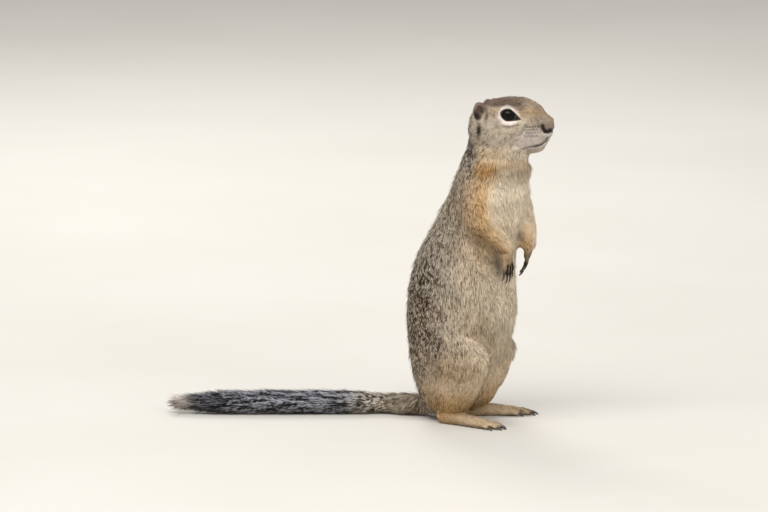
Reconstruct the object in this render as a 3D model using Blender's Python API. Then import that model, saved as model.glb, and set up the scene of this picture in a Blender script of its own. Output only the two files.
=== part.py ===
"""A ground squirrel standing upright on its hind feet, as a still life-size model.

The surface of the solids is the outside of the coat.  The soft body is modelled whole, from lofts
that are merged into one skin, and is then parted into head, neck, trunk, limbs and tail by thin cuts.
Feet, hands, ears, eyes and claws are solids of their own, let into the piece that carries them.

All sizes are in millimetres until the last step.  +X is forward, +Y the animal's left, +Z up, and
the floor is at z = 0.  The drawing's own origin is on the floor between the heels.
"""

import bmesh
import bpy
from math import cos, pi, radians, sin
from mathutils import Matrix, Vector

# ---- driving sizes -------------------------------------------------------------------------------
MILLIMETRE = 0.001
CUT = 0.3  # width of the cuts that part one piece from the next
VOXEL = 1.5  # grid on which the body's lofts are merged
FINE_VOXEL = 0.7  # and the same for a hand or foot
BLEND_STEPS = 14  # rounds of smoothing, which round off the creases between merged lofts
BODY_TRIANGLES = 1950  # the merged body's share of the model's triangles

HEAD_TURN = 13.0  # degrees that the head is turned to the animal's left
HEAD_PIVOT = Vector((35.0, 0.0, 245.4))  # on the neck's axis, at the height of the head's axis
HEAD_BACK = 16.7  # the back of the head lies this far behind the pivot
NECK_BASE = Vector((33.0, 0.0, 210.0))  # where the neck leaves the trunk
TAIL_BEND = Vector((-50.0, 1.0, 0.0))  # the tail turns aside here
TAIL_TURN = 25.0  # degrees that the tail bends to the animal's right
TAIL_ROOT = -31.5  # the tail leaves the rump here
TAIL_MIDDLE = 100.0  # the cut between the tail's two lengths is this far past its bend

SIDES = {"right": -1, "left": 1}
HIPS = {"right": (2, -21, 64), "left": (0, 21, 64)}
KNEES = {"right": (35, -33, 56), "left": (30, 32, 55)}
ANKLES = {"right": (8, -21, 14), "left": (11, 16, 14)}
HEELS = {"right": (-4, -20, 0), "left": (1, 13, 0)}
FEET_OUT = {"right": 7, "left": 32}  # degrees that each foot points away from straight ahead
SHOULDERS = {"right": (33, -21, 189), "left": (38, 22, 190)}
ELBOWS = {"right": (40, -32, 165), "left": (48, 28, 168)}
WRISTS = {"right": (56, -21, 149), "left": (59.5, 16, 149)}
HANDS_FORWARD = {"right": 0.14, "left": -0.12}  # lean of each hanging hand

# how long, how thick its digits are, how far their knuckles rise, its claws' length, its mesh
FOOT = {"length": 61.0, "girth": 2.1, "arch": 1.3, "claw": 5.5, "triangles": 300}
HAND = {"length": 21.0, "girth": 1.7, "arch": 0.8, "claw": 6.5, "triangles": 220}

EYE_RADIUS = 6.3
EYE = Vector((33.0, 11.6, 9.6))  # forward along the head, out to its side, up from its axis
ORBIT = (9.0, 3.6, 6.6)  # half axes of the hollow round each eye
EARS = {"right": (10.0, 18.6, 12.2), "left": (10.0, 18.6, 9.0)}  # placed as the eyes are
EAR_SHELL = (5.2, 3.8, 8.4)  # half axes of the outer dish
EAR_BOWL = (4.0, 4.2, 6.9)  # and of the hollow in it
EAR_OPENING = 28.0  # degrees that the ears open forward of straight out

FINISHES = {
    "coat": ((0.42, 0.34, 0.24), 0.9),
    "tail_coat": ((0.20, 0.19, 0.18), 0.9),
    "paw_coat": ((0.50, 0.36, 0.22), 0.8),
    "eye": ((0.01, 0.008, 0.007), 0.08),
    "claw": ((0.035, 0.026, 0.02), 0.35),
}


# ---- general shapes ------------------------------------------------------------------------------
def spline(keys, steps):
    """Rows of numbers on a smooth curve through the key rows, with some steps between each two."""
    rows = []
    last = len(keys) - 1
    for i in range(last):
        before, a, b, after = keys[max(i - 1, 0)], keys[i], keys[i + 1], keys[min(i + 2, last)]
        for k in range(steps):
            t = k / steps
            weights = (
                (-t + 2 * t**2 - t**3) / 2,
                (2 - 5 * t**2 + 3 * t**3) / 2,
                (t + 4 * t**2 - 3 * t**3) / 2,
                (-(t**2) + t**3) / 2,
            )
            rows.append([sum(w * v for w, v in zip(weights, four)) for four in zip(before, a, b, after)])
    return rows + [list(keys[-1])]


def superellipse(angle, power):
    """A point on a unit superellipse: power 2 is a circle, more is squarer."""
    c, s = cos(angle), sin(angle)
    return (
        abs(c) ** (2 / power) * (1 if c >= 0 else -1),
        abs(s) ** (2 / power) * (1 if s >= 0 else -1),
    )


def object_of(name, mesh):
    """A new object in the scene, from a bmesh that is then freed."""
    data = bpy.data.meshes.new(name)
    mesh.to_mesh(data)
    mesh.free()
    made = bpy.data.objects.new(name, data)
    bpy.context.scene.collection.objects.link(made)
    return made


def skin_over(name, rings):
    """A closed mesh over a row of rings of points, with a centre point at each end."""
    mesh = bmesh.new()
    loops = [[mesh.verts.new(p) for p in ring] for ring in rings]
    count = len(loops[0])
    for low, high in zip(loops, loops[1:]):
        for i in range(count):
            j = (i + 1) % count
            mesh.faces.new((low[i], low[j], high[j], high[i]))
    for loop in (loops[0], loops[-1]):
        centre = mesh.verts.new(sum((v.co for v in loop), Vector()) / count)
        for i in range(count):
            mesh.faces.new((loop[i], loop[(i + 1) % count], centre))
    bmesh.ops.recalc_face_normals(mesh, faces=mesh.faces)
    return object_of(name, mesh)


def limb(name, keys, sides=16, steps=4, across=(0, 1, 0)):
    """A tube along a smooth path.  Each key is x, y, z, half its width, half its thickness."""
    rows = spline(keys, steps)
    points = [Vector(r[:3]) for r in rows]
    rings = []
    for i, (point, row) in enumerate(zip(points, rows)):
        along = (points[min(i + 1, len(rows) - 1)] - points[max(i - 1, 0)]).normalized()
        side = Vector(across)
        side = (side - along * side.dot(along)).normalized()
        front = side.cross(along)
        angles = [2 * pi * k / sides for k in range(sides)]
        rings.append([point + side * (row[3] * cos(a)) + front * (row[4] * sin(a)) for a in angles])
    return skin_over(name, rings)


def ellipsoid(name, centre, half, turn=0, segments=20, rings=12):
    """An ellipsoid of three half axes, turned about the upright by an angle in degrees."""
    mesh = bmesh.new()
    bmesh.ops.create_uvsphere(mesh, u_segments=segments, v_segments=rings, radius=1)
    place = Matrix.Translation(centre) @ Matrix.Rotation(radians(turn), 4, "Z") @ Matrix.Diagonal((*half, 1))
    mesh.transform(place)
    return object_of(name, mesh)


def block_beyond(name, point, outwards, size=400.0):
    """A large block that fills the space beyond a plane."""
    mesh = bmesh.new()
    bmesh.ops.create_cube(mesh, size=size)
    facing = Vector(outwards).normalized()
    turn = facing.to_track_quat("Z", "Y").to_matrix().to_4x4()
    mesh.transform(Matrix.Translation(Vector(point) + facing * size / 2) @ turn)
    return object_of(name, mesh)


def set_at(thing, place):
    """Moves the mesh itself, and keeps its faces outward when the move is a mirroring one."""
    thing.data.transform(place)
    if place.determinant() < 0:
        thing.data.flip_normals()
    return thing


# ---- joining and cutting -------------------------------------------------------------------------
def apply_modifiers(thing):
    """The object keeps the mesh that its modifiers make."""
    graph = bpy.context.evaluated_depsgraph_get()
    made = bpy.data.meshes.new_from_object(thing.evaluated_get(graph))
    thing.modifiers.clear()
    thing.data = made
    return thing


def remove(*things):
    for thing in things:
        bpy.data.objects.remove(thing)


def copy_of(thing, name):
    made = bpy.data.objects.new(name, thing.data.copy())
    bpy.context.scene.collection.objects.link(made)
    return made


def grown(thing, by):
    """A copy whose surface lies further out by a distance."""
    made = copy_of(thing, thing.name + "_grown")
    normals = [v.normal.copy() for v in made.data.vertices]
    for vertex, normal in zip(made.data.vertices, normals):
        vertex.co += normal * by
    return made


def boolean(thing, other, operation):
    modifier = thing.modifiers.new(operation, "BOOLEAN")
    modifier.operation = operation
    modifier.object = other
    return apply_modifiers(thing)


def fit_against(piece, neighbour):
    """Trims a piece back to a thin gap round its neighbour."""
    wider = grown(neighbour, CUT)
    boolean(piece, wider, "DIFFERENCE")
    remove(wider)
    keep_largest(piece)


def keep_largest(thing):
    """Drops the crumbs that a cut leaves beside the main piece."""
    mesh = bmesh.new()
    mesh.from_mesh(thing.data)
    unseen = set(mesh.verts)
    parts = []
    while unseen:
        stack = [unseen.pop()]
        part = []
        while stack:
            vertex = stack.pop()
            part.append(vertex)
            for edge in vertex.link_edges:
                other = edge.other_vert(vertex)
                if other in unseen:
                    unseen.remove(other)
                    stack.append(other)
        parts.append(part)
    parts.sort(key=len, reverse=True)
    bmesh.ops.delete(mesh, geom=[v for part in parts[1:] for v in part], context="VERTS")
    mesh.to_mesh(thing.data)
    mesh.free()


def take(whole, region, name):
    """Cuts the piece inside a region out of the whole, with a thin gap round it."""
    piece = boolean(copy_of(whole, name), region, "INTERSECT")
    keep_largest(piece)
    fit_against(whole, region)
    remove(region)
    return piece


def merged(name, lofts, triangles, hollows=(), voxel=VOXEL, steps=BLEND_STEPS):
    """One smooth closed skin over overlapping lofts, with hollows sunk into it."""
    whole = lofts[0]
    bpy.ops.object.select_all(action="DESELECT")
    for loft in lofts:
        loft.select_set(True)
    bpy.context.view_layer.objects.active = whole
    bpy.ops.object.join()
    whole.name = name
    remesh = whole.modifiers.new("merge", "REMESH")
    remesh.mode = "VOXEL"
    remesh.voxel_size = voxel
    apply_modifiers(whole)
    for hollow in hollows:
        boolean(whole, hollow, "DIFFERENCE")
        remove(hollow)
    smooth = whole.modifiers.new("blend", "SMOOTH")
    smooth.factor = 0.5
    smooth.iterations = steps
    apply_modifiers(whole)
    return fewer(whole, triangles)


def fewer(thing, triangles):
    """Thins a mesh out to about this many triangles."""
    thing.data.calc_loop_triangles()
    modifier = thing.modifiers.new("fewer", "DECIMATE")
    modifier.ratio = min(1, triangles / len(thing.data.loop_triangles))
    return apply_modifiers(thing)


# ---- the soft body's lofts -----------------------------------------------------------------------
def torso():
    """Rump, belly, chest and neck, as level slices."""
    # height, back, front, half width, squareness
    slices = spline(
        [
            (6, -17, 0, 11, 2.0),
            (10, -21.5, 8, 20, 2.1),
            (22, -25.5, 18, 29, 2.2),
            (40, -30, 30, 36, 2.2),
            (57, -33.5, 42, 39, 2.2),
            (75, -35.5, 50, 39.5, 2.2),
            (92, -36, 53.5, 39, 2.2),
            (109, -34.8, 53.5, 37.5, 2.2),
            (125, -31, 52.5, 35.5, 2.2),
            (141, -25.5, 54, 33, 2.2),
            (158, -16, 56.5, 30, 2.2),
            (175, -7, 61.5, 28, 2.1),
            (192, 1.5, 67.5, 27, 2.1),
            (208, 7, 69.5, 25, 2.1),
            (217, 11.5, 66.5, 23, 2.1),
            (226, 14.5, 64, 21, 2.0),
            (238, 18.5, 60, 17, 2.0),
            (246, 24, 54, 12, 2.0),
        ],
        3,
    )
    rings = []
    for height, back, front, half_width, power in slices:
        ring = []
        for k in range(32):
            c, s = superellipse(2 * pi * k / 32, power)
            ring.append(Vector(((back + front) / 2 + c * (front - back) / 2, s * half_width, height)))
        rings.append(ring)
    return skin_over("torso", rings)


def head_place():
    """The matrix that sets a shape drawn along the head's own axis on the neck."""
    turn = Matrix.Rotation(radians(HEAD_TURN), 4, "Z")
    return Matrix.Translation(HEAD_PIVOT) @ turn @ Matrix.Translation((-HEAD_BACK, 0, 0))


def skull():
    """The head, as upright slices along its axis from the nape to the nose."""
    # how far forward, top, bottom, half width, height of the widest place, squareness above it
    slices = spline(
        [
            (0, 6, -12, 12, -3, 2.0),
            (5, 13.5, -19, 17.5, -4, 2.2),
            (13, 18.5, -24, 21, -6, 2.4),
            (22, 21, -26, 22, -7, 2.5),
            (31, 22.3, -26, 20.5, -7, 2.5),
            (39, 22.6, -25, 17.5, -6, 2.5),
            (46, 22, -23.5, 14.8, -5, 2.5),
            (53, 19.5, -20.5, 12.2, -4.5, 2.4),
            (59, 15.5, -17.5, 10.2, -4, 2.3),
            (64, 10.5, -12, 7.8, -2, 2.2),
            (67, 7.2, -6, 5.2, 0.5, 2.0),
            (68.6, 4.5, -1, 2.4, 1.8, 2.0),
        ],
        3,
    )
    rings = []
    for forward, top, bottom, half_width, level, power in slices:
        ring = []
        for k in range(28):
            angle = 2 * pi * k / 28
            c, s = superellipse(angle, power if angle < pi else 2)
            rise = s * (top - level if s > 0 else level - bottom)
            ring.append(Vector((forward, c * half_width, level + rise)))
        rings.append(ring)
    made = skin_over("skull", rings)
    made.data.transform(head_place())
    return made


def on_head(place, side):
    """A point drawn on the head, as along, out and up, on one side of the animal."""
    return head_place() @ Vector((place[0], SIDES[side] * place[1], place[2]))


def orbit(side):
    """The shallow hollow that the eye sits in."""
    return ellipsoid("orbit", on_head(EYE + Vector((0.5, 7.6, 0)), side), ORBIT, HEAD_TURN)


def thigh(side):
    hip, knee = Vector(HIPS[side]), Vector(KNEES[side])
    reach = knee - hip
    out = Vector((0, SIDES[side], 0))
    return limb(
        "thigh",
        [
            (*(hip - reach * 0.75), 5, 12),
            (*(hip - reach * 0.5), 14, 25),
            (*(hip - out), 18.5, 33),
            (*(hip.lerp(knee, 0.4) + out), 18, 30),
            (*(hip.lerp(knee, 0.75) + out), 15, 22),
            (*knee, 12, 14.5),
            (*(knee + reach * 0.24), 6, 7),
        ],
    )


def shank(side):
    knee, ankle = Vector(KNEES[side]), Vector(ANKLES[side])
    calf = knee.lerp(ankle, 0.45) + Vector((-5, 0, 0))
    return limb(
        "shank",
        [
            (*(knee + Vector((-3, 0, 9))), 6, 7),
            (*(knee + Vector((-1.5, 0, 2))), 12, 14),
            (*calf, 13, 20),
            (*knee.lerp(ankle, 0.78), 11, 15.5),
            (*ankle, 8.5, 11),
            (*(ankle + Vector((0, 0, -6))), 6.5, 8.5),
        ],
    )


def upper_arm(side):
    shoulder, elbow = Vector(SHOULDERS[side]), Vector(ELBOWS[side])
    return limb(
        "upper_arm",
        [
            (*(shoulder + Vector((-2, 0, 16))), 6, 9),
            (*(shoulder + Vector((-1, 0, 8))), 11, 17),
            (*shoulder, 12.5, 18.5),
            (*shoulder.lerp(elbow, 0.6), 11.5, 16),
            (*elbow, 10, 12),
            (*(elbow + Vector((-2, 0, -8))), 5, 6),
        ],
    )


def forearm(side):
    elbow, wrist = Vector(ELBOWS[side]), Vector(WRISTS[side])
    return limb(
        "forearm",
        [
            (*(elbow - (wrist - elbow) * 0.25), 7, 8),
            (*elbow, 10, 12),
            (*elbow.lerp(wrist, 0.5), 9, 11.5),
            (*wrist, 6.6, 8.8),
            (*(wrist + (wrist - elbow) * 0.12 + Vector((0, 0, -5))), 4.6, 5.4),
        ],
        across=(0, 1, 0.2),
    )


def tail_direction():
    turn = radians(TAIL_TURN)
    return Vector((-cos(turn), -sin(turn), 0))


def tail():
    """The brush lies along the floor, wider than it is high, with a bend at its root."""
    # half width, half height and height of the middle line, from inside the rump to the tip
    girths = [
        (9, 8.5, 14.4),
        (9.5, 8.5, 10.4),
        (9.5, 7.9, 7.8),
        (11.5, 9.4, 9.1),
        (13.5, 10.2, 9.7),
        (14.5, 10.0, 9.5),
        (14, 9.4, 9.1),
        (12, 7.6, 9.1),
        (8, 5, 9.4),
    ]
    path = [Vector((-12, 1, 0)), Vector((-30, 2.5, 0))]
    path += [TAIL_BEND + tail_direction() * d for d in (0, 35, 80, 125, 158, 180, 187)]
    return limb("tail", [(p.x, p.y, z, w, h) for p, (w, h, z) in zip(path, girths)], sides=20)


def body():
    """The whole soft body but for the hands, feet and ears."""
    lofts = [torso(), skull(), tail()]
    for side in SIDES:
        lofts += [thigh(side), shank(side), upper_arm(side), forearm(side)]
    return merged("body", lofts, BODY_TRIANGLES, [orbit(side) for side in SIDES])


# ---- hands, feet and claws -----------------------------------------------------------------------
def digit(place, base, tip, kind, claw_name):
    """A toe or finger with a knuckle, and its curved claw.  Returns the digit and the claw."""
    base, tip = Vector(base), Vector(tip)
    girth, reach = kind["girth"], kind["claw"]
    ahead = (tip - base).normalized()
    down = Vector((0, 0, -1))
    knuckle = base.lerp(tip, 0.5) - down * kind["arch"]
    toe_keys = [
        (*(base - (tip - base) * 0.25), girth * 0.8, girth * 0.8),
        (*base, girth * 1.05, girth),
        (*knuckle, girth, girth * 1.05),
        (*tip, girth * 0.97, girth * 0.9),
        (*(tip + ahead * girth * 0.8), girth * 0.45, girth * 0.4),
    ]
    root = girth * 0.43
    claw_keys = [
        (*(tip - ahead * girth * 0.2), root, root * 1.1),
        (*(tip + ahead * reach * 0.45 + down * reach * 0.04), root * 0.85, root),
        (*(tip + ahead * reach * 0.8 + down * reach * 0.17), root * 0.5, root * 0.65),
        (*(tip + ahead * reach + down * reach * 0.36), 0.18, 0.2),
    ]
    toe = limb("digit", toe_keys, sides=7, steps=1)
    claw = limb(claw_name, claw_keys, sides=5, steps=1)
    return set_at(toe, place), set_at(claw, place)


def limb_end(name, place, palm, digits, kind, carrier):
    """A hand or foot: one solid let into its carrier, and the separate claws let into it."""
    set_at(palm, place)
    fit_against(carrier, palm)
    toes, claws = [], []
    for number, (base, tip) in enumerate(digits, 1):
        toe, claw = digit(place, base, tip, kind, f"claw_{name}_{number}")
        toes.append(toe)
        claws.append(claw)
    whole = merged(name, [palm] + toes, kind["triangles"], voxel=FINE_VOXEL, steps=3)
    for claw in claws:
        fit_against(whole, claw)
    return whole, claws


def foot(side, shank_piece):
    """A long flat foot with five toes.  Drawn from the heel forward, with its outer edge at +Y."""
    palm = limb(
        "sole",
        [
            (0.6, 0, 5.0, 2.5, 2.5),
            (3, 0, 5.6, 5.2, 5.8),
            (12, 0, 6.4, 6.4, 7.0),
            (24, 0, 5.0, 6.6, 5.4),
            (36, 0.3, 3.9, 7.8, 4.4),
            (44, 0.5, 3.3, 8.2, 3.7),
            (49, 0.5, 3.0, 5.5, 2.6),
        ],
        sides=12,
        steps=2,
    )
    tip = FOOT["length"] - FOOT["girth"]
    digits = [
        ((35, -6.0, 2.8), (tip - 13, -8.6, 2.1)),
        ((44, -4.2, 3.0), (tip - 3, -6.0, 2.2)),
        ((46, -1.0, 3.0), (tip, -1.6, 2.2)),
        ((45, 2.2, 3.0), (tip - 1, 3.0, 2.2)),
        ((41, 5.6, 2.8), (tip - 7, 7.6, 2.1)),
    ]
    turn = Matrix.Rotation(radians(SIDES[side] * FEET_OUT[side]), 4, "Z")
    place = Matrix.Translation(HEELS[side]) @ turn @ Matrix.Diagonal((1, SIDES[side], 1, 1))
    return limb_end(f"foot_{side}", place, palm, digits, FOOT, shank_piece)


def hand(side, forearm_piece):
    """A small hand that hangs from the wrist.  Drawn with its fingers along +X and its back up."""
    palm = limb(
        "palm",
        [
            (-3.5, 0, 0, 3.5, 3.0),
            (0, 0, 0, 4.6, 4.2),
            (5, 0, 0, 5.0, 3.6),
            (9.5, 0, -0.2, 4.8, 2.8),
            (12, 0, -0.4, 3.0, 1.8),
        ],
        sides=10,
        steps=1,
    )
    tip = HAND["length"] - HAND["girth"]
    digits = [
        ((8.5, -3.6, 0), (tip - 3.0, -4.6, -1.2)),
        ((10, -1.3, 0), (tip, -1.7, -1.4)),
        ((10, 1.2, 0), (tip + 0.3, 1.4, -1.4)),
        ((8.5, 3.5, 0), (tip - 2.2, 4.5, -1.2)),
    ]
    down = Vector((HANDS_FORWARD[side], -0.05 * SIDES[side], -1)).normalized()
    outward = Vector((-0.45, SIDES[side], 0))
    outward = (outward - down * outward.dot(down)).normalized()
    back_of_hand = down.cross(outward) * SIDES[side]
    place = Matrix((down, outward, back_of_hand)).transposed().to_4x4()
    place = Matrix.Translation(Vector(WRISTS[side]) + Vector((1.5, 0, -3.5))) @ place
    return limb_end(f"hand_{side}", place, palm, digits, HAND, forearm_piece)


# ---- ears and eyes -------------------------------------------------------------------------------
def ear(side):
    """A small upright dish that opens forward and outward."""
    turn = HEAD_TURN - SIDES[side] * EAR_OPENING
    centre = on_head(EARS[side], side)
    out = Matrix.Rotation(radians(turn), 3, "Z") @ Vector((0, SIDES[side], 0))
    shell = ellipsoid(f"ear_{side}", centre, EAR_SHELL, turn, segments=12, rings=7)
    bowl = ellipsoid("bowl", centre + out * 3.0, EAR_BOWL, turn, segments=12, rings=7)
    boolean(shell, bowl, "DIFFERENCE")
    remove(bowl)
    return shell


def eye(side):
    return ellipsoid(f"eye_{side}", on_head(EYE, side), (EYE_RADIUS,) * 3, HEAD_TURN, segments=12, rings=8)


# ---- parting the body ----------------------------------------------------------------------------
def head_space():
    return ellipsoid("head_space", head_place() @ Vector((32, 0, 0)), (43, 34, 29), HEAD_TURN, 16, 8)


def thigh_space(side):
    return ellipsoid("thigh_space", (15, SIDES[side] * 37, 68), (36, 24, 30), 0, 14, 8)


def shank_space(side):
    """A wide tube round the lower leg, from inside the thigh's space to below the floor."""
    knee, ankle = Vector(KNEES[side]), Vector(ANKLES[side])
    out = Vector((0, SIDES[side] * 3, 0))
    keys = [
        (*(knee + out), 18, 20),
        (*(knee.lerp(ankle, 0.5) + out + Vector((-4, 0, 0))), 16, 22),
        (*(ankle + out), 12, 17),
        (*(ankle + out + Vector((-3, 0, -14))), 11, 15),
    ]
    return limb("shank_space", keys, sides=10, steps=1)


def upper_arm_space(side):
    middle = Vector(SHOULDERS[side]).lerp(Vector(ELBOWS[side]), 0.45)
    return ellipsoid("upper_arm_space", middle + Vector((0, SIDES[side] * 12, 0)), (18, 19, 24), 0, 14, 8)


def forearm_space(side):
    """A wide tube round the forearm, flat across the elbow."""
    elbow, wrist = Vector(ELBOWS[side]), Vector(WRISTS[side])
    along = wrist - elbow
    keys = [(*(elbow + along * 0.1), 14, 15), (*wrist, 12, 13), (*(wrist + along * 0.8), 10, 11)]
    return limb("forearm_space", keys, sides=10, steps=1)


def tail_space():
    block = block_beyond("tail_space", (TAIL_ROOT, 0, 0), (-1, 0, 0), 600)
    above = block_beyond("above_tail", (0, 0, 24), (0, 0, 1), 800)
    boolean(block, above, "DIFFERENCE")
    remove(above)
    return block


def material(name, colour, roughness):
    made = bpy.data.materials.new(name)
    made.use_nodes = True
    shader = made.node_tree.nodes["Principled BSDF"]
    shader.inputs["Base Color"].default_value = (*colour, 1)
    shader.inputs["Roughness"].default_value = roughness
    made.diffuse_color = (*colour, 1)
    return made


def build():
    for thing in list(bpy.data.objects):
        bpy.data.objects.remove(thing)

    trunk = body()
    trunk.name = "trunk"
    pieces = {"coat": [trunk], "tail_coat": [], "paw_coat": [], "eye": [], "claw": []}

    tail_base = take(trunk, tail_space(), "tail_base")
    middle = TAIL_BEND + tail_direction() * TAIL_MIDDLE
    tail_end = take(tail_base, block_beyond("tail_far", middle, tail_direction()), "tail_end")
    pieces["tail_coat"] += [tail_base, tail_end]

    head = take(trunk, head_space(), "head")
    for side in SIDES:
        thigh_piece = take(trunk, thigh_space(side), f"thigh_{side}")
        shank_piece = take(trunk, shank_space(side), f"shank_{side}")
        forearm_piece = take(trunk, forearm_space(side), f"forearm_{side}")
        upper_arm_piece = take(trunk, upper_arm_space(side), f"upper_arm_{side}")
        foot_piece, foot_claws = foot(side, shank_piece)
        hand_piece, hand_claws = hand(side, forearm_piece)
        eyeball = eye(side)
        fit_against(head, eyeball)
        pinna = ear(side)
        fit_against(pinna, head)
        pieces["coat"] += [shank_piece, thigh_piece, forearm_piece, upper_arm_piece, pinna]
        pieces["paw_coat"] += [foot_piece, hand_piece]
        pieces["claw"] += foot_claws + hand_claws
        pieces["eye"].append(eyeball)
    neck = take(trunk, block_beyond("above_chest", NECK_BASE, (0.3, 0, 0.95)), "neck")
    pieces["coat"] += [head, neck]

    floor = block_beyond("floor", (0, 0, 0), (0, 0, -1), 900)
    everything = [piece for group in pieces.values() for piece in group]
    for piece in everything:
        if min(v.co.z for v in piece.data.vertices) < 0:
            boolean(piece, floor, "DIFFERENCE")
            keep_largest(piece)
    remove(floor)

    points = [v.co for piece in everything for v in piece.data.vertices]
    middle_x = (min(p.x for p in points) + max(p.x for p in points)) / 2
    middle_y = (min(p.y for p in points) + max(p.y for p in points)) / 2
    to_frame = Matrix.Scale(MILLIMETRE, 4) @ Matrix.Translation((-middle_x, -middle_y, 0))
    for slot, group in pieces.items():
        finish = material(slot, *FINISHES[slot])
        for piece in group:
            piece.data.transform(to_frame)
            piece.data.materials.clear()
            piece.data.materials.append(finish)
            piece.data.shade_smooth()


build()
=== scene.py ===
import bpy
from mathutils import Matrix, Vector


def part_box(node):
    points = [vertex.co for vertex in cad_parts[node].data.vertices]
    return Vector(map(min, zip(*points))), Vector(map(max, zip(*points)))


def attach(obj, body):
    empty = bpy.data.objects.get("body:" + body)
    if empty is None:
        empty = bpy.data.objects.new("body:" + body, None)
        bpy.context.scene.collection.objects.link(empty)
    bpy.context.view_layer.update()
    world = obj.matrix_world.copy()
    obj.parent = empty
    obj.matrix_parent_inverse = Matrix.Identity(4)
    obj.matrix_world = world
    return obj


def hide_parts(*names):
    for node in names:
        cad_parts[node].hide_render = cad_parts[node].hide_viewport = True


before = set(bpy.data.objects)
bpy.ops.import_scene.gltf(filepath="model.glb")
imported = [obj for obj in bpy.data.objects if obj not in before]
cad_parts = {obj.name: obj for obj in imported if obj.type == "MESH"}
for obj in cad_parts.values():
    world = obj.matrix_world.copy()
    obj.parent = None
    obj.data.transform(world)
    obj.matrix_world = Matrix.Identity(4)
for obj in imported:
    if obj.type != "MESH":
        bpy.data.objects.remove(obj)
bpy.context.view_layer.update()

import math

import bpy
import numpy as np
from mathutils import Vector
from mathutils.bvhtree import BVHTree

# A standing ground squirrel: one skin over all the flesh, a coat of small locks, eyes, claws, whiskers.
mm = 0.001
dice = np.random.default_rng(7)

# Places that several pieces share, in millimetres.
bodyPlan = {
    "headPivot": (103.2, 17.5, 245.4),  # where the head turns on the neck
    "headBack": 16.7,  # from the back of the skull to that pivot
    "headTurn": 13,  # degrees to its own left
    "eye": (33, 11.6, 9.6),  # forward along the head, out to the side, up from its axis
    "eyeRadius": 6.3,
    "eyeFacing": (0.16, 1, 0.12),  # forward, out, up
    "ears": {-1: (10, 18.6, 12.2), 1: (10, 18.6, 9)},  # as the eye, for the right and left ear
    "middle": 17.5,  # the middle of the body across the frame
    "tailBend": (18.2, 18.5),
    "tailTurn": 25,  # degrees from straight back
    "tailMiddle": 9.4,  # height of its middle line over the ground
}

# Which solids make each part of the body, how deep its coat is and which way the hair lies.
bodyParts = {
    "head": {"nodes": ["head", "eye_left", "eye_right"], "depth": 0.5, "lie": (0, 0, -1)},
    "ear": {"nodes": ["ear_left", "ear_right"], "depth": 0.2, "lie": (-0.3, 0, 1)},
    "neck": {"nodes": ["neck"], "depth": 1.5, "lie": (-0.2, 0, -1)},
    "trunk": {"nodes": ["trunk"], "depth": 1.7, "lie": (-0.02, 0, -1)},
    "thigh": {"nodes": ["thigh_left", "thigh_right"], "depth": 1.6, "lie": (0.15, 0, -1)},
    "shank": {"nodes": ["shank_left", "shank_right"], "depth": 1.1, "lie": (-0.3, 0, -1)},
    "foot": {"nodes": ["foot_left", "foot_right"], "depth": 0.3, "lie": (1, 0.15, -0.1)},
    "upperArm": {"nodes": ["upper_arm_left", "upper_arm_right"], "depth": 1.4, "lie": (0.5, 0, -1)},
    "forearm": {"nodes": ["forearm_left", "forearm_right"], "depth": 0.9, "lie": (0.7, 0, -1)},
    "hand": {"nodes": ["hand_left", "hand_right"], "depth": 0.2, "lie": (0.1, 0, -1)},
    "tail": {"nodes": ["tail_base", "tail_end"], "depth": 0, "lie": (-0.906, -0.423, 0)},
}
partNames = list(bodyParts)


def toLinear(hexColour):  # sRGB hex to the linear colour that the nodes take
    channels = [int(hexColour[i:i + 2], 16) / 255 for i in (1, 3, 5)]
    return (*[c / 12.92 if c <= 0.04045 else ((c + 0.055) / 1.055) ** 2.4 for c in channels], 1)


def addNode(tree, kind, settings=None, inputs=None):  # an input is a number, a socket or a node
    node = tree.nodes.new("ShaderNode" + kind)
    for name, value in (settings or {}).items():
        setattr(node, name, value)
    for name, value in (inputs or {}).items():
        if isinstance(value, bpy.types.Node):
            value = value.outputs[0]
        if isinstance(value, bpy.types.NodeSocket):
            tree.links.new(value, node.inputs[name])
        else:
            node.inputs[name].default_value = value
    return node


def newMaterial(name):
    material = bpy.data.materials.new(name)
    material.use_nodes = True
    material.node_tree.nodes.clear()
    return material, material.node_tree


def setStops(node, stops):  # the places and colours of a colour ramp
    for number, (position, colour) in enumerate(stops):
        elements = node.color_ramp.elements
        stop = elements[number] if number < 2 else elements.new(position)
        stop.position = position
        stop.color = colour


def newObject(name, data):
    thing = bpy.data.objects.new(name, data)
    bpy.context.collection.objects.link(thing)
    return thing


def select(*things):  # these alone, the first one active
    if bpy.context.object and bpy.context.object.mode != "OBJECT":
        leaveEdit()
    bpy.ops.object.select_all(action="DESELECT")
    for thing in things:
        thing.select_set(True)
    if things:
        bpy.context.view_layer.objects.active = things[0]


def enterEdit(action="SELECT"):  # with all of the mesh selected, or none of it
    bpy.ops.object.mode_set(mode="EDIT")
    bpy.ops.mesh.select_all(action=action)


def leaveEdit():
    bpy.ops.object.mode_set(mode="OBJECT")


def applyModifier(thing, kind, **settings):
    select(thing)
    modifier = thing.modifiers.new(kind, kind)
    for name, value in settings.items():
        setattr(modifier, name, value)
    bpy.ops.object.modifier_apply(modifier=modifier.name)


def copyNode(name, label):  # a welded copy of a solid, for modelling on
    thing = newObject(label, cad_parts[name].data.copy())
    select(thing)
    enterEdit()
    bpy.ops.mesh.remove_doubles(threshold=1e-6)
    leaveEdit()
    thing.data.materials.clear()
    return thing


def readRows(items, field, width, kind=np.float32):
    values = np.empty(len(items) * width, kind)
    items.foreach_get(field, values)
    return values.reshape(-1, width)


def readPoints(mesh):
    return readRows(mesh.vertices, "co", 3).astype(float)


def readNormals(mesh):
    return readRows(mesh.vertex_normals, "vector", 3).astype(float)


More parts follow.
